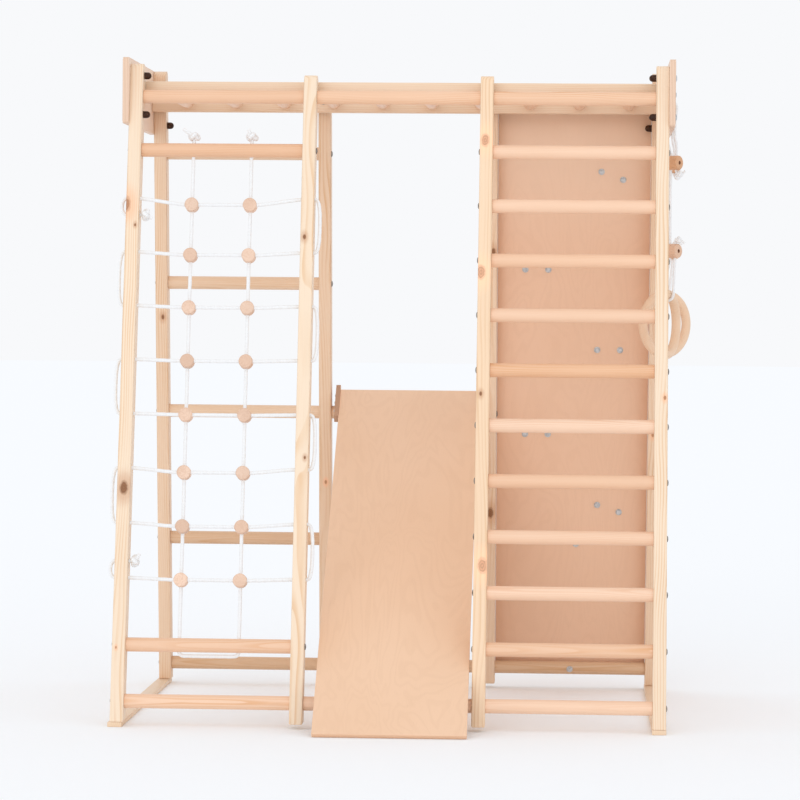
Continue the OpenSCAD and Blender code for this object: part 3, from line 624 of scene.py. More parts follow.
def eased_rim(r, half, ease):
    """The (radius, height) points of a turned piece's upper rim."""
    return [(r - ease + ease * cos(a), half - ease + ease * sin(a)) for a in (0, 0.5, 1.05, pi / 2)]


def smooth_route(points, step):
    """A curve through the points, resampled at about one step."""
    line = [Vector(p) for p in points]
    padded = [2 * line[0] - line[1]] + line + [2 * line[-1] - line[-2]]
    route = []
    for i in range(len(line) - 1):
        a, b, c, d = padded[i:i + 4]
        pieces = max(1, round((c - b).length / step))
        tangent_b = (c - a).normalized() * (c - b).length
        tangent_c = (d - b).normalized() * (c - b).length
        for k in range(pieces):
            t = k / pieces
            h1 = 2 * t ** 3 - 3 * t ** 2 + 1
            h2 = t ** 3 - 2 * t ** 2 + t
            h3 = -2 * t ** 3 + 3 * t ** 2
            h4 = t ** 3 - t ** 2
            route.append(h1 * b + h2 * tangent_b + h3 * c + h4 * tangent_c)
    route.append(line[-1])
    return route


TWIST_LENGTH = 22 * MM


def tube(builder, route, diameter, sides=12, closed=False):
    """A braided cord swept along a route, with the distance along it and round it as its UVs."""
    uv = builder.loops.layers.uv.verify()
    count = len(route)
    side = None
    loops = []
    travelled = [0.0]
    for i, centre in enumerate(route):
        ahead = route[(i + 1) % count] if closed else route[min(i + 1, count - 1)]
        behind = route[i - 1] if closed or i else route[0]
        tangent = (ahead - behind).normalized()
        if side is None:
            side = tangent.orthogonal().normalized()
        side = (side - tangent * side.dot(tangent)).normalized()
        up = tangent.cross(side)
        if i:
            travelled.append(travelled[-1] + (centre - route[i - 1]).length)
        loop = []
        twist = travelled[-1] * 2 * pi / TWIST_LENGTH
        for a in angles_round(sides):
            r = diameter / 2 * (0.965 + 0.035 * cos(3 * a + twist))
            loop.append(builder.verts.new(centre + r * (cos(a) * side + sin(a) * up)))
        loops.append(loop)
    pairs = list(zip(range(count), range(1, count)))
    if closed:
        pairs.append((count - 1, 0))
    for i, k in pairs:
        far = travelled[k] if k else travelled[-1] + (route[0] - route[-1]).length
        for j in range(sides):
            m = (j + 1) % sides
            face = builder.faces.new((loops[i][j], loops[i][m], loops[k][m], loops[k][j]))
            corners = ((travelled[i], j), (travelled[i], j + 1), (far, j + 1), (far, j))
            for corner, (u, v) in zip(face.loops, corners):
                corner[uv].uv = (u, v / sides)
    if not closed:
        builder.faces.new(loops[0][::-1])
        builder.faces.new(loops[-1])


def knot_route(centre, axis, size, steps=54):
    """The closed path of a simple overhand knot of that overall size, round an axis."""
    matrix = facing(centre, axis)
    scale = size / 6.2
    route = []
    for t in angles_round(steps):
        point = Vector((sin(t) + 2 * sin(2 * t), cos(t) - 2 * cos(2 * t), -1.25 * sin(3 * t)))
        route.append(matrix @ (point * scale))
    return route


def rope_knot(builder, centre, axis, size, rope_d):
    """A knot of that size, its turns a little swollen."""
    tube(builder, knot_route(centre, axis, size - rope_d), rope_d * 1.2, 10, closed=True)


# ---- legs, boards and rails


def leg_outline(length, lean):
    half = LEG_D / 2
    slope = half * tan(lean)
    rounded = arc((half - LEG_ROUND, length - LEG_ROUND), LEG_ROUND, 0, 90)
    rounded += arc((LEG_ROUND - half, length - LEG_ROUND), LEG_ROUND, 90, 180)
    return [(-half, -slope), (half, slope)] + rounded


def leg_length(node, front):
    """Length along the middle line, found from the height of the leg's rounded top."""
    lean = FRONT_LEAN if front else REAR_LEAN
    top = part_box(node)[1].z - FOOT_T
    past_middle = (LEG_D / 2 - LEG_ROUND) * sin(lean)
    return (top - LEG_ROUND * (1 - cos(lean)) - past_middle) / cos(lean)


def make_leg(node, i, front, material):
    lean = FRONT_LEAN if front else REAR_LEAN
    up = FRONT_UP if front else REAR_UP
    foot = Vector((LEG_X[i] - LEG_W / 2, FRONT_FOOT_Y if front else REAR_FOOT_Y, FOOT_T))
    matrix = axes(foot, X_AXIS.cross(up) * -1, up, X_AXIS)
    builder = bmesh.new()
    outline = leg_outline(leg_length(node, front), lean if front else -lean)
    prism(builder, outline, LEG_W, matrix, edge=3 * MM, segments=3)
    new_piece(node, "wood", builder, [material])


def wood_mark(i, point, along, size, tint, inner):
    """A knot on the front face of a leg, as wood() takes it."""
    return (point(LEG_X[i] + inner * MM, along * MM, -LEG_D / 2), size * MM, tint)


# The knots of each leg: place along it, size, tint, and place across its face, in mm
FRONT_MARKS = {
    0: [(1303, 17, KNOT_RED, -17), (1250, 3.5, KNOT_BROWN, 8),
        (579, 15, KNOT_BROWN, 1), (180, 3, KNOT_RED, -6)],
    1: [(1222, 6, KNOT_BROWN, -6), (660, 4, KNOT_BROWN, 8)],
    2: [(1475, 15, KNOT_PINK, -3), (1135, 16, KNOT_PINK, -9),
        (826, 5, KNOT_BROWN, -5), (395, 17, KNOT_PINK, 5)],
    3: [(820, 5, KNOT_RED, 9)]}
REAR_MARKS = {
    0: [(1010, 6, KNOT_BROWN, 3)],
    1: [(560, 5, KNOT_RED, 2)],
    2: [(1195, 9, KNOT_BROWN, 6), (480, 13, KNOT_BROWN, 2)],
    3: [(700, 6, KNOT_RED, -3)]}


WARM_LEG = 2      # the third front leg is of a warmer plank


def make_legs():
    for i in range(4):
        marks = [wood_mark(i, front_point, *mark) for mark in FRONT_MARKS[i]]
        pale = shifted(PINE_PALE, 1.0, 0.15) if i == WARM_LEG else PINE_PALE
        grain = wood(f"pine_front_{i + 1}", pale, PINE_DARK, FRONT_UP, 3 + 2 * i, 6, 0.85, marks, wave=0.065)
        make_leg(f"front_leg_{i + 1}", i, True, grain)
        marks = [wood_mark(i, rear_point, *mark) for mark in REAR_MARKS[i]]
        grain = wood(f"pine_rear_{i + 1}", TAN_PALE, TAN_DARK, REAR_UP, 4 + 3 * i, 5, 0.7, marks, wave=0.06)
        make_leg(f"rear_leg_{i + 1}", i, False, grain)


def board_from_box(node, long_axis, edge, material):
    """A squared timber that fills its CAD node's box, with eased edges."""
    low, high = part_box(node)
    size = high - low
    builder = bmesh.new()
    if long_axis == "x":
        prism(builder, rectangle(size.y, size.z), size.x, axes(low, Y_AXIS, Z_AXIS, X_AXIS), edge, 3)
    else:
        prism(builder, rectangle(size.z, size.x), size.y, axes(low, Z_AXIS, X_AXIS, Y_AXIS), edge, 3)
    new_piece(node, "wood", builder, [material])


def make_boards():
    foot_pale = shifted(PINE_PALE, 0.93, 0.12)
    for seed, side in enumerate(("left", "right")):
        grain = wood(f"pine_foot_{side}", foot_pale, PINE_DARK, Y_AXIS, 21 + seed, 4, 0.6)
        board_from_box(f"foot_board_{side}", "y", 1.5 * MM, grain)
    front = wood("pine_rail_front", RAIL_PALE, TAN_DARK, X_AXIS, 31, 5, 0.5)
    board_from_box("monkey_rail_front", "x", 3 * MM, front)
    rear = wood("pine_rail_rear", TAN_PALE, TAN_DARK, X_AXIS, 34, 5, 0.5)
    board_from_box("monkey_rail_rear", "x", 3 * MM, rear)


def make_plates():
    for seed, side in enumerate(("left", "right")):
        node = f"gusset_plate_{side}"
        low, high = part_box(node)
        r = PLATE_ROUND
        depth, height = high.y - low.y - r, high.z - low.z - r
        outline = arc((r, r), r, 180, 270) + arc((depth, r), r, 270, 360)
        outline += arc((depth, height), r, 0, 90) + arc((r, height), r, 90, 180)
        builder = bmesh.new()
        prism(builder, outline, PLATE_T, axes(low, Y_AXIS, Z_AXIS, X_AXIS), edge=2.5 * MM, segments=3)
        ply = plywood(f"ply_plate_{side}", PLY_PLATE, PLATE_EDGE, X_AXIS, Y_AXIS, 5 + seed, PLATE_T)
        new_piece(node, "board", builder, [ply])


# ---- rungs and bars


def dowel(builder, start, end, diameter, material=0):
    """A turned dowel with slightly softened ends."""
    length = (end - start).length
    r = diameter / 2
    ease = 0.8 * MM
    profile = [(0, 0), (r - ease, 0), (r, ease)]
    profile += [(r, length * k / 6) for k in range(1, 6)]
    profile += [(r, length - ease), (r - ease, length), (0, length)]
    lathe(builder, profile, facing(start, end - start), 40, material)


def bay_ends(bay, point):
    """The two ends of a bar between the legs of a bay, at a point of the leg line."""
    return (Vector((LEG_X[bay] + LEG_W / 2, point.y, point.z)),
            Vector((LEG_X[bay + 1] - LEG_W / 2, point.y, point.z)))


def front_bar(bay, level):
    return bay_ends(bay, front_point(0, rung_along(level)))


def rear_bar(bay, level):
    return bay_ends(bay, rear_point(0, bar_along(level)))


def bar_piece(node, places, pale, dark, along, seed, ring=3.5, contrast=0.5, tones=None):
    """One piece that holds all the bars of a CAD node, each with its own grain.

    places are pairs of end points, and tones how (light, warm) each bar is beside the others.
    """
    builder = bmesh.new()
    grains = []
    for i, (start, end) in enumerate(places):
        dowel(builder, start, end, RUNG_D, i)
        light, warm = tones[i] if tones else (1.0, 0.0)
        grains.append(wood(f"{node}_wood_grain_{i + 1}", shifted(pale, light, warm),
                           shifted(dark, light, warm), along, seed + 2 * i, ring, contrast))
    new_piece(node, "wood", builder, grains)


# Rungs with strong orange grain, and rungs that are (lighter or darker, warmer) than the others; the two
# lowest rear bar levels are darker and warmer as painted shade from the parts in front of and above them
ORANGE_RUNGS = (5, 10)
REAR_TONES_AND_SHADE = {2: (0.98, 0.04), 4: (0.86, 0.18), 5: (0.83, 0.22)}
RUNG_TONES = {3: (0.97, 0.09), 4: (0.96, 0.05), 5: (0.91, 0.24), 6: (1.02, -0.08), 7: (0.92, 0.12),
              8: (0.97, 0.02), 9: (1.0, -0.04), 10: (0.93, 0.10), 11: (1.02, -0.04)}


def make_rungs():
    for level in range(1, RUNG_COUNT + 1):
        strong = level in ORANGE_RUNGS
        light, warm = RUNG_TONES.get(level, (1.0, 0.0))
        bar_piece(f"ladder_rung_{level}", [front_bar(2, level)], shifted(BEECH_PALE, light, warm),
                  ORANGE_DARK if strong else BEECH_DARK, X_AXIS, 40 + 3 * level,
                  4.5 if strong else 3.2, 0.75 if strong else 0.40)
    top = [front_bar(bay, 0) for bay in range(3)]
    bar_piece("top_dowels", top, shifted(BEECH_PALE, 0.97, 0.06), ORANGE_DARK,
              X_AXIS, 81, 4, 0.6, [(0.96, 0.07), (1.0, 0.02), (1.0, 0.0)])
    net = [front_bar(0, level) for level in (1, 10, 11)]
    bar_piece("net_bay_bars", net, shifted(BEECH_PALE, 0.95, 0.07), ORANGE_DARK,
              X_AXIS, 84, 4, 0.6, [(0.95, 0.12), (1.0, 0.0), (1.04, -0.06)])
    bar_piece("slide_bay_bar", [front_bar(1, RUNG_COUNT)], BEECH_PALE, BEECH_DARK, X_AXIS, 87)
    slide_bar = (1, 3)
    spots = [(bay, level) for bay in range(3) for level in REAR_LEVELS[bay] if (bay, level) != slide_bar]
    rear = [rear_bar(*spot) for spot in spots]
    # through these tones the lowest rear bars take painted shade
    tones = [REAR_TONES_AND_SHADE.get(level, (1.0, 0.0)) for bay, level in spots]
    bar_piece("rear_bars", rear, TAN_PALE, TAN_DARK, X_AXIS, 90, 4, 0.5, tones)
    bar_piece("slide_bar", [rear_bar(*slide_bar)], TAN_PALE, TAN_DARK, X_AXIS, 93, 4, 0.5)
    for i in range(1, MONKEY_RUNGS + 1):
        node = f"monkey_rung_{i}"
        low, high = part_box(node)
        centre = (low + high) / 2
        ends = (Vector((centre.x, low.y, centre.z)), Vector((centre.x, high.y, centre.z)))
        bar_piece(node, [ends], shifted(BEECH_PALE, 0.95), ORANGE_DARK, Y_AXIS, 100 + 2 * i,
                  3.5, 0.45)


# ---- fasteners


def socket_head(builder, at, direction, head_d, head_h, key, shaft_d, shaft):
    """A domed head with a hexagon socket, and its shaft behind it. direction points out of the head."""
    r = head_d / 2
    matrix = facing(at, direction)
    dome = [(r * cos(a), head_h * (0.25 + 0.75 * sin(a))) for a in (0, 0.3, 0.6, 0.85)]
    floor = head_h * 0.3
    profile = [(0, -shaft), (shaft_d / 2 - 0.5 * MM, -shaft), (shaft_d / 2, -shaft + 0.5 * MM),
               (shaft_d / 2, 0), (r, 0)] + dome
    profile += [(key * 0.75, head_h), (lambda a: hexagon(a, key), head_h - 0.2 * MM),
                (lambda a: hexagon(a, key), floor), (0, floor - 0.3 * MM)]
    lathe(builder, profile, matrix, 24)


def rung_fasteners():
    """Where bars meet the legs: headed bolts as (place of the head, outward direction), and studs.

    A leg with a bar on one side has a bolt, sunk where a gusset plate covers it. A leg with bars on
    both sides has a headless stud.
    """
    bolts, studs = [], []
    bar_levels = [*range(1, BAR_COUNT + 1), PANEL_BAR_LEVEL]
    lines = [(front_point, rung_along, FRONT_LEVELS, range(RUNG_COUNT + 1)),
             (rear_point, bar_along, REAR_LEVELS, bar_levels)]
    for i in range(4):
        for point, along, levels, all_levels in lines:
            for level in all_levels:
                left = i > 0 and level in levels[i - 1]
                right = i < 3 and level in levels[i]
                if left and right:
                    studs.append(point(LEG_X[i], along(level)))
                elif left or right:
                    out = -1 if right else 1
                    sunk = RUNG_HEAD_H if i in (0, 3) and level in (0, PANEL_BAR_LEVEL) else 0
                    at = point(LEG_X[i] + out * (LEG_W / 2 - sunk), along(level))
                    bolts.append((at, Vector((out, 0, 0))))
    return bolts, studs


def make_rung_bolts(steel):
    bolts, studs = rung_fasteners()
    length = LEG_W + RUNG_BOLT_GRIP
    builder = bmesh.new()
    for at, out in bolts:
        socket_head(builder, at, out, RUNG_HEAD_D, RUNG_HEAD_H, RUNG_KEY, RUNG_BOLT_D, length)
    r, half = RUNG_BOLT_D / 2, LEG_W / 2 + RUNG_BOLT_GRIP
    for at in studs:
        lathe(builder, [(0, -half), (r, -half), (r, half), (0, half)], facing(at, X_AXIS), 16)
    new_piece("rung_bolts", "steel", builder, [steel])


def frame_bolt(builder, at, out, length, head_d=FRAME_HEAD_D, key=FRAME_KEY):
    socket_head(builder, at, out, head_d, FRAME_HEAD_H, key, FRAME_BOLT_D, length)


def make_frame_bolts(steel):
    """Bolts through the gusset plates into legs and rails, and through the rails into the middle legs."""
    builder = bmesh.new()
    for side, leg in ((-1, 0), (1, 3)):
        face = LEG_X[leg] + side * (LEG_W / 2 + PLATE_T)
        out = Vector((side, 0, 0))
        for z in PLATE_BOLT_Z:
            front = FRONT_FOOT_Y + (z - FOOT_T) * tan(FRONT_LEAN)
            rear = REAR_FOOT_Y - (z - FOOT_T) * tan(REAR_LEAN)
            for y in (front, rear):
                frame_bolt(builder, Vector((face, y, z)), out, PLATE_BOLT_LEN)
        for rail in ("monkey_rail_front", "monkey_rail_rear"):
            frame_bolt(builder, Vector((face, middle(rail).y, RAIL_Z)), out, PLATE_TO_RAIL_LEN)
    for leg in (1, 2):
        for rail, side in (("monkey_rail_front", 1), ("monkey_rail_rear", -1)):
            low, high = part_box(rail)
            at = Vector((LEG_X[leg], high.y if side > 0 else low.y, RAIL_Z))
            frame_bolt(builder, at, Vector((0, side, 0)), RAIL_TO_LEG_LEN, RAIL_HEAD_D, RAIL_KEY)
    new_piece("frame_bolts", "steel", builder, [steel])


def panel_bolt(builder, at, shaft):
    """A washer under a hexagon head whose corners are turned off, and the bolt behind it."""
    washer_r, bolt_r, across = WASHER_D / 2, PANEL_BOLT_D / 2, HEX_ACROSS
    top = WASHER_T + HEX_HEIGHT
    washer = [(0, -shaft), (bolt_r, -shaft), (bolt_r, 0), (washer_r - 0.3 * MM, 0),
              (washer_r, 0.3 * MM), (washer_r, WASHER_T - 0.3 * MM), (washer_r - 0.4 * MM, WASHER_T),
              (across * 0.62, WASHER_T)]
    head = [(lambda a: hexagon(a, across), WASHER_T), (lambda a: hexagon(a, across), top - 0.6 * MM),
            (across * 0.47, top), (across * 0.30, top), (across * 0.27, top - 0.5 * MM), (0, top - 0.5 * MM)]
    lathe(builder, washer + head, facing(at, -PANEL_OUT), 36)


def make_panel_bolts(steel):
    """Two bolts for each hold, and one through each bar that carries the panel."""
    builder = bmesh.new()
    for across, along, tilt in [place[:3] for place in HOLD_PLACES]:
        for side in (-1, 1):
            at = on_panel(across * MM, along * MM, tilt, side * HOLD_BOLT_GAP / 2, 0)
            panel_bolt(builder, at, HOLD_BOLT_LEN)
    for level in REAR_LEVELS[2]:
        panel_bolt(builder, on_panel(0, bar_along(level), 0, 0, -RUNG_D), RUNG_D + PANEL_T)
    new_piece("panel_bolts", "steel", builder, [steel])


def make_slide_screws(steel):
    builder = bmesh.new()
    for side in (-1, 1):
        for place in SCREW_PLACES:
            at = on_slide(side * (SLIDE_W / 2 + HOOK_T), SLIDE_LEN - HOOK_LEN + place, SLIDE_T / 2)
            out = on_slide_direction(Vector((side, 0, 0)))
            socket_head(builder, at, out, SCREW_HEAD_D, SCREW_HEAD_H, SCREW_KEY, SCREW_D, SCREW_LEN)
    new_piece("slide_screws", "steel", builder, [steel], "slide")


def make_fasteners():
    dark_steel = steel_material("dark_steel", (0.30, 0.28, 0.26), (0.16, 0.14, 0.13), 0.35)
    zinc = steel_material("zinc_steel", (0.62, 0.63, 0.64), (0.42, 0.43, 0.44), 0.28)
    make_rung_bolts(dark_steel)
    make_frame_bolts(zinc)
    make_panel_bolts(zinc)
    make_slide_screws(zinc)
    give("cap_nuts", cap_material())
    give("rung_inserts", steel_material("brass", (0.78, 0.60, 0.28), (0.60, 0.43, 0.18), 0.3))


def give(node, material):
    """A CAD node keeps its shape and takes this material."""
    data = NODES[node].data
    data.materials.clear()
    data.materials.append(material)


# ---- slide

SLIDE_PIVOT = rear_point(0, bar_along(3))
SLIDE_TOE_Y = FRONT_FOOT_Y - 165 * MM
SLIDE_X = (LEG_X[0] + LEG_X[3]) / 2 + 5 * MM


def slide_matrix():
    """The slide board's own frame: x across, y up the slope, z out of the board."""
    place = Matrix.Translation((SLIDE_X, SLIDE_PIVOT.y, 0)) @ Matrix.Rotation(SLIDE_SKEW, 4, "Z")
    toe = Matrix.Translation((0, SLIDE_TOE_Y - SLIDE_PIVOT.y, 0))
    return place @ toe @ Matrix.Rotation(SLIDE_SLOPE, 4, "X")


def on_slide(x, up, out):
    return slide_matrix() @ Vector((x, up, out))


def on_slide_direction(direction):
    return slide_matrix().to_3x3() @ direction


def make_slide():
    """The board with eased edges. Its hooks keep their CAD shape."""
    face = on_slide_direction(Z_AXIS)
    up = on_slide_direction(Y_AXIS)
    across = on_slide_direction(X_AXIS)
    builder = bmesh.new()
    matrix = axes(on_slide(-SLIDE_W / 2, 0, 0), across, up, face)
    prism(builder, rectangle(SLIDE_W, SLIDE_LEN), SLIDE_T, matrix, edge=1.6 * MM)
    ply = plywood("ply_slide", PLY_SLIDE, SLIDE_EDGE, face, up, 11, SLIDE_T)
    new_piece("slide_board", "ply", builder, [ply], "slide")
    for seed, side in enumerate(("left", "right")):
        ply = plywood(f"ply_hook_{side}", PLY_SLIDE, HOOK_EDGE, across, up, 13 + seed, HOOK_T)
        give(f"slide_hook_{side}", ply)


# ---- climbing panel and holds

PANEL_OUT = Vector((0, cos(REAR_LEAN), sin(REAR_LEAN)))
PANEL_X = (LEG_X[2] + LEG_X[3]) / 2
PAINTED_LIGHT_HEIGHTS = (1.15, 1.60)      # painted light: the panel is painted paler between these heights, against the rails' shade
# Each hold: across from the panel's middle, along the leg, tilt, length, height, depth; mm and degrees
HOLD_PLACES = [
    (102, 1398, -20, 118, 74, 42),
    (-99, 1143, 0, 110, 84, 36),
    (97, 925, 0, 124, 70, 44),
    (-97, 692, 0, 112, 80, 38),
    (100, 488, -18, 120, 76, 40),
    (-16, 398, -18, 108, 78, 36)]


def on_panel(across, along, tilt, x, out, z=0.0):
    """A place near the panel: x and z in the tilted frame of one hold, out behind its front face."""
    a = radians(-tilt)
    side = x * cos(a) + z * sin(a)
    up = z * cos(a) - x * sin(a)
    return rear_point(PANEL_X + across + side, along + up, RUNG_D / 2 + out)


def make_panel():
    builder = bmesh.new()
    outline = rectangle(PANEL_W, PANEL_HIGH - PANEL_LOW, -PANEL_W / 2)
    corner = rear_point(PANEL_X, PANEL_LOW, RUNG_D / 2 + PANEL_T)
    matrix = axes(corner, X_AXIS, REAR_UP, -PANEL_OUT)
    prism(builder, outline, PANEL_T, matrix, edge=1.2 * MM)
    ply = plywood("ply_panel", PLY_PANEL, PLY_EDGE, PANEL_OUT, REAR_UP, 17, PANEL_T, PAINTED_LIGHT_HEIGHTS)
    new_piece("climbing_panel", "ply", builder, [ply])


def hold_mesh(builder, place, index):
    """A cast hold: a domed pebble with a finger edge, flat on the panel, its face dished by noise."""
    across, along, tilt = place[0] * MM, place[1] * MM, place[2]
    length, height, depth = [size * MM for size in place[3:]]
    rings, sides = 12, 36
    loops = []
    for k in range(rings + 1):
        t = k / rings
        swell = sqrt(max(0.0, 1 - t ** 2.4))
        out = depth * sin(t * pi / 2) ** 0.8
        loop = []
        for a in angles_round(sides):
            wave = 0.90 + 0.10 * noise.noise(Vector((2 * cos(a), 2 * sin(a), 3.1 * index)))
            x = length / 2 * wave * cos(a) * swell
            z = height / 2 * wave * sin(a) * swell
            lip = 0.16 * depth * max(0.0, sin(a)) * sin(pi * t)
            dish = 0.10 * depth * noise.noise(Vector((x * 30, z * 30, 1.7 * index))) * t
            y = PANEL_T + min(depth * 0.97, max(0.0, out + lip + dish) if k else 0.0)
            loop.append(builder.verts.new(on_panel(across, along, tilt, x, y, z + lip)))
        loops.append(loop)
    for low, high in zip(loops, loops[1:]):
        join_loops(builder, low, high, index)
    for loop in (loops[0], loops[-1]):
        builder.faces.new(loop).material_index = index
    bmesh.ops.remove_doubles(builder, verts=loops[-1], dist=0.2 * MM)


def make_holds():
    builder = bmesh.new()
    for index, place in enumerate(HOLD_PLACES):
        hold_mesh(builder, place, index)
    materials = [hold_material(f"hold_resin_{i + 1}", c) for i, c in enumerate(HOLD_COLOURS)]
    new_piece("climbing_holds", "resin", builder, materials)


# ---- rope net

FLAT_RUN = 20 * MM
LEG_RUN = LEG_W / 2 + 2 * MM
KNOT_FROM_ROW = 42 * MM
NET_KNOT = 34 * MM
# The outside loop between two rows: how far off the leg's face, and how far past the first row
LOOP_SHAPE = [(7, 3), (11, 14), (14, 40), (14, 98), (11, 124), (7, 135)]


def row_points(row):
    s = row_along(row)
    low = s - NET_SAG[row] * MM
    left, right = LEG_X[0], LEG_X[1]
    points = [(left - LEG_RUN, s), (left + LEG_RUN, s)]
    for x in NET_COLUMNS:
        points += [(x - FLAT_RUN, low), (x + FLAT_RUN, low)]
    return points + [(right - LEG_RUN, s), (right + LEG_RUN, s)]


def outer_loop(row):
    to_right = row % 2 == 0
    side = 1 if to_right else -1
    face = LEG_X[1] + LEG_W / 2 if to_right else LEG_X[0] - LEG_W / 2
    return [(face + side * off * MM, row_along(row) - past * MM) for off, past in LOOP_SHAPE]


def net_end(row, direction):
    """The rope's end comes back in through the left leg to a knot."""
    s = row_along(row)
    face = LEG_X[0] - LEG_W / 2
    back = s + direction * KNOT_FROM_ROW
    return [(face - 7 * MM, s + direction * 3 * MM), (face - 12 * MM, s + direction * 13 * MM),
            (face - 12 * MM, back - direction * 13 * MM), (face - 7 * MM, back - direction * 3 * MM),
            (face - 2 * MM, back), (face + LEG_W + 2 * MM, back), (face + LEG_W + 16 * MM, back)]


def across_route():
    route = net_end(0, -1)[::-1]
    for row in range(NET_ROWS):
        route += row_points(row) if row % 2 == 0 else row_points(row)[::-1]
        if row < NET_ROWS - 1:
            route += outer_loop(row)
    return route + net_end(NET_ROWS - 1, 1)


def upright_route():
    a, b = NET_COLUMNS
    top = rung_along(1) + RUNG_D / 2 + NET_KNOT / 2 + 2 * MM
    low = rung_along(10) - RUNG_D / 2 - NET_ROPE_D / 2 - 4 * MM
    half = [(0, top), (0, rung_along(3)), (0, rung_along(6)), (0, rung_along(8)), (0, low + 9 * MM),
            (2.4 * MM, low + 3.6 * MM), (8 * MM, low + 0.6 * MM), (18 * MM, low)]
    return [(a + x, s) for x, s in half] + [(b - x, s) for x, s in reversed(half)]


def make_net_rope(node, flat_route, layer, tails, material):
    """A net rope in its layer of the discs. tails say where each loose end goes from its knot, in mm."""
    route = [front_point(x, s, layer) for x, s in flat_route]
    builder = bmesh.new()
    tube(builder, smooth_route(route, 4 * MM), NET_ROPE_D * 0.96)
    for end, tail in zip((route[0], route[-1]), tails):
        rope_knot(builder, end, FRONT_UP if layer > 0 else X_AXIS, NET_KNOT, NET_ROPE_D)
        loose = [end, end + Vector(tail) * 0.5 * MM + Vector((0, -2 * MM, 0)), end + Vector(tail) * MM]
        tube(builder, smooth_route(loose, 3 * MM), NET_ROPE_D * 0.85)
    new_piece(node, "cord", builder, [material])


def make_discs():
    """Wooden discs at the crossings, with rounded rims."""
    r, half = DISC_D / 2, DISC_T / 2
    rim = eased_rim(r, half, 3 * MM)
    profile = [(0, -half)] + [(x, -z) for x, z in reversed(rim)] + rim + [(r * 0.5, half), (0, half)]
    axis = Vector((0, -cos(FRONT_LEAN), sin(FRONT_LEAN)))
    builder = bmesh.new()
    for row in range(NET_ROWS):
        for column, x in enumerate(NET_COLUMNS):
            at = front_point(x, row_along(row) - NET_SAG[row] * MM)
            lathe(builder, profile, facing(at, axis), 36, (row + column) % 3)
    woods = [end_grain(f"disc_wood_{i}", shifted(DISC_PALE, light), DISC_DARK, axis, 3 + 5 * i)
             for i, light in enumerate((0.94, 1.05, 1.0))]
    new_piece("net_discs", "wood", builder, woods)


def make_net(material):
    across, upright = [(16, -3, -10), (12, -3, 18)], [(-27, -4, 19), (-9, -3, 19)]
    make_net_rope("net_rope_across", across_route(), -NET_LAYER, across, material)
    make_net_rope("net_rope_upright", upright_route(), NET_LAYER, upright, material)
    make_discs()


# ---- gym rings

RING_R = (RING_D - RING_T) / 2
RING_Z = 1004 * MM
RING_TOP_Z = RING_Z + RING_R
RING_SHIFT = -4 * MM
TOGGLE_SHIFT = 9 * MM
TOGGLE_HOLE = 8 * MM
TOGGLE_REACH = TOGGLE_D / 2 + 1 * MM
HANG_Z = 1562 * MM
HANG_BEND = 16 * MM
HANG_OUT = HANG_BEND - TOGGLE_SHIFT
HANG_IN = -HANG_BEND - TOGGLE_SHIFT
RING_LOOP = RING_T / 2 + RING_ROPE_D / 2 + 1.2 * MM
RING_KNOT = 19 * MM


def knot_end(toggle_z, rise):
    """The rope's last bend, from a toggle's hole out to its knot."""
    hole, face = TOGGLE_HOLE, toggle_z + rise * TOGGLE_REACH
    return [(hole, face - rise * 2 * MM, 1), (hole + 2 * MM, face + rise * 4 * MM, 1),
            (hole + 6 * MM, face + rise * 7.5 * MM, 1), (hole + 12 * MM, face + rise * 9 * MM, 1)]


def ring_rope_route():
    """Route points as (across, height, twist): twist is 0 in the plate, 1 at the toggles, 2 at the ring."""
    hole, reach, upper, lower = TOGGLE_HOLE, TOGGLE_REACH, UPPER_TOGGLE_Z, LOWER_TOGGLE_Z
    route = knot_end(upper, -1)[::-1]
    route += [(hole, upper + reach, 1), (hole, 1462 * MM, 0.5),
              (HANG_OUT - 4 * MM, 1490 * MM, 0), (HANG_OUT - 3 * MM, 1530 * MM, 0)]
    for step in range(5):
        a = radians(45 * step)
        route.append((HANG_BEND * cos(a) - TOGGLE_SHIFT, HANG_Z + HANG_BEND * sin(a), 0))
    route += [(HANG_IN + 2 * MM, 1520 * MM, 0), (HANG_IN + 4 * MM, 1490 * MM, 0.15),
              (-hole - 5 * MM, 1462 * MM, 0.5), (-hole, upper + reach, 1), (-hole, upper - reach, 1),
              (-hole, lower + reach, 1)]
    to_ring = [(hole, lower - reach, 1), (hole + 1 * MM, 1155 * MM, 1.15), (hole + 4 * MM, 1135 * MM, 1.45),
               (hole + 8 * MM, 1114 * MM, 1.8), (RING_LOOP, RING_TOP_Z + 8 * MM, 2)]
    route += [(-across, height, twist) for across, height, twist in to_ring]
    for step in range(7):
        a = radians(180 + 30 * step)
        route.append((RING_LOOP * cos(a), RING_TOP_Z + RING_LOOP * sin(a), 2))
    return route + to_ring[::-1] + knot_end(lower, 1)


def rope_turn(which, twist):
    last = RING_TURN[which] - pi / 2
    return twist * TOGGLE_TURN if twist < 1 else TOGGLE_TURN + (last - TOGGLE_TURN) * (twist - 1)


def ring_place(which, across, height, twist):
    turn = rope_turn(which, twist)
    mid = TOGGLE_SHIFT + (RING_SHIFT - TOGGLE_SHIFT) * max(twist - 1, 0)
    return Vector((HANG_X + mid + across * cos(turn), RING_Y[which] + across * sin(turn), height))


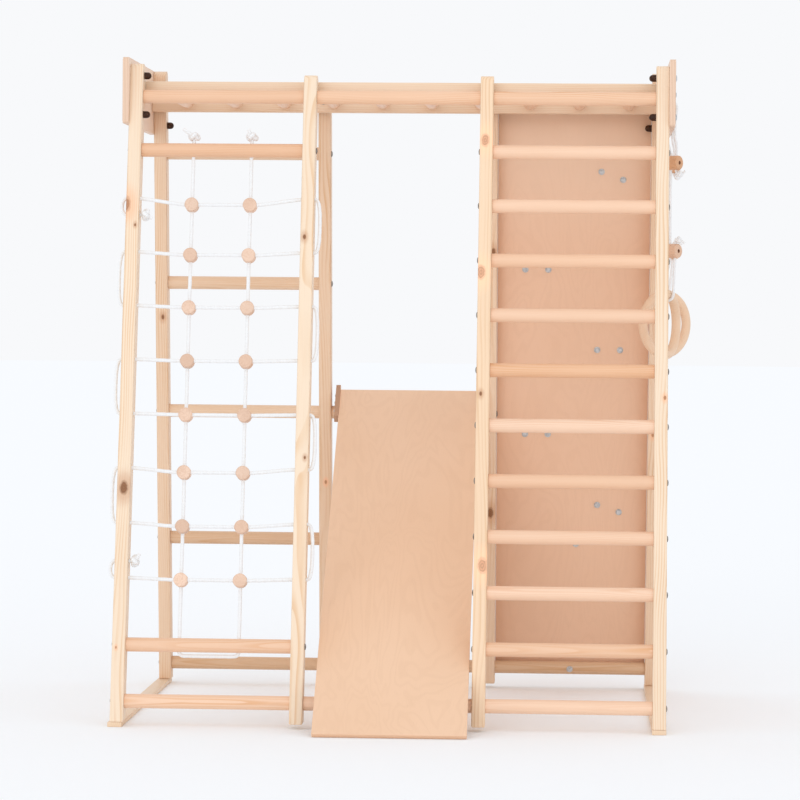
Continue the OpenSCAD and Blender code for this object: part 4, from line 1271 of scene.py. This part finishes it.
def make_ring_rope(which, material):
    """One rope from its upper knot, over the plate's hole and round the ring, to its lower knot."""
    points = [ring_place(which, *p) for p in ring_rope_route()]
    route = smooth_route(points, 3 * MM)
    builder = bmesh.new()
    tube(builder, route, RING_ROPE_D * 0.97)
    node, body = f"ring_rope_{which}", f"ring_hanger_{which}"
    rope = new_piece(node, "cord", builder, [material], body)
    builder = bmesh.new()
    for end, before, rise in ((route[0], route[2], 7 * MM), (route[-1], route[-3], -9 * MM)):
        rope_knot(builder, end, end - before, RING_KNOT, RING_ROPE_D)
        loose = [end, end + Vector((8 * MM, -3 * MM, rise / 3)), end + Vector((14 * MM, -4 * MM, rise))]
        tube(builder, smooth_route(loose, 3 * MM), RING_ROPE_D * 0.75)
    knots = new_piece(node, "knots", builder, [material], body, stands_in=False)


def make_toggles(which, woods, dark):
    """Two short round wooden toggles with eased rims and a dimple in the outer end, coloured dark as painted
    shade.
    """
    half = TOGGLE_LEN / 2
    rim = eased_rim(TOGGLE_D / 2, half, 3.5 * MM)
    mouth = (5.2 * MM, half)
    dimple = [mouth, (4.5 * MM, half), (4.2 * MM, half - 3.5 * MM), (0, half - 4 * MM)]
    profile = [(0, -half)] + [(x, -z) for x, z in reversed(rim)] + rim + [mouth]
    axis = Vector((cos(TOGGLE_TURN), sin(TOGGLE_TURN), 0))
    builder = bmesh.new()
    for i, z in enumerate((UPPER_TOGGLE_Z, LOWER_TOGGLE_Z)):
        at = Vector((HANG_X + TOGGLE_SHIFT, RING_Y[which], z))
        lathe(builder, profile, facing(at, axis), 40, i)
        # the dimple takes the dark material, as painted shade in the recess
        lathe(builder, dimple, facing(at, axis), 40, len(woods))
    bmesh.ops.remove_doubles(builder, verts=builder.verts, dist=0.02 * MM)
    new_piece(f"ring_toggles_{which}", "wood", builder, woods + [dark], f"ring_hanger_{which}")


def make_ring(which, material):
    """A bent and glued wooden ring."""
    turn = RING_TURN[which]
    centre = Vector((HANG_X + RING_SHIFT, RING_Y[which], RING_Z))
    side = Vector((cos(turn), sin(turn), 0))
    up = Z_AXIS
    out = side.cross(up)
    builder = bmesh.new()
    loops = []
    for a in angles_round(96):
        spoke = cos(a) * side + sin(a) * up
        loop = []
        for b in angles_round(28):
            point = centre + spoke * (RING_R + RING_T / 2 * cos(b)) + out * (RING_T / 2 * sin(b))
            loop.append(builder.verts.new(point))
        loops.append(loop)
    for low, high in zip(loops, loops[1:] + loops[:1]):
        join_loops(builder, low, high)
    new_piece(f"ring_{which}", "wood", builder, [material], f"gym_ring_{which}")


def make_rings(rope):
    upper = wood("toggle_wood_upper", *TOGGLE_UPPER, Z_AXIS, 61, 3, 0.5)
    lower = wood("toggle_wood_lower", *TOGGLE_LOWER, Z_AXIS, 63, 3, 0.5)
    dark = wood("toggle_dimple_painted_shade", *TOGGLE_DIMPLE_SHADE, Z_AXIS, 62, 3, 0.5)
    for seed, which in enumerate(("front", "rear")):
        make_ring_rope(which, rope)
        make_toggles(which, [upper, lower], dark)
        through = (sin(RING_TURN[which]), -cos(RING_TURN[which]), 0)
        grain = wood(f"ring_wood_{which}", *RING_WOOD, through, 65 + seed, 3.4, 0.4)
        make_ring(which, grain)


# ---- the scene

make_camera()
make_stage()
cord = rope_material()
make_rings(cord)
make_net(cord)
make_legs()
make_boards()
make_plates()
make_rungs()
make_slide()
make_panel()
make_holds()
make_fasteners()
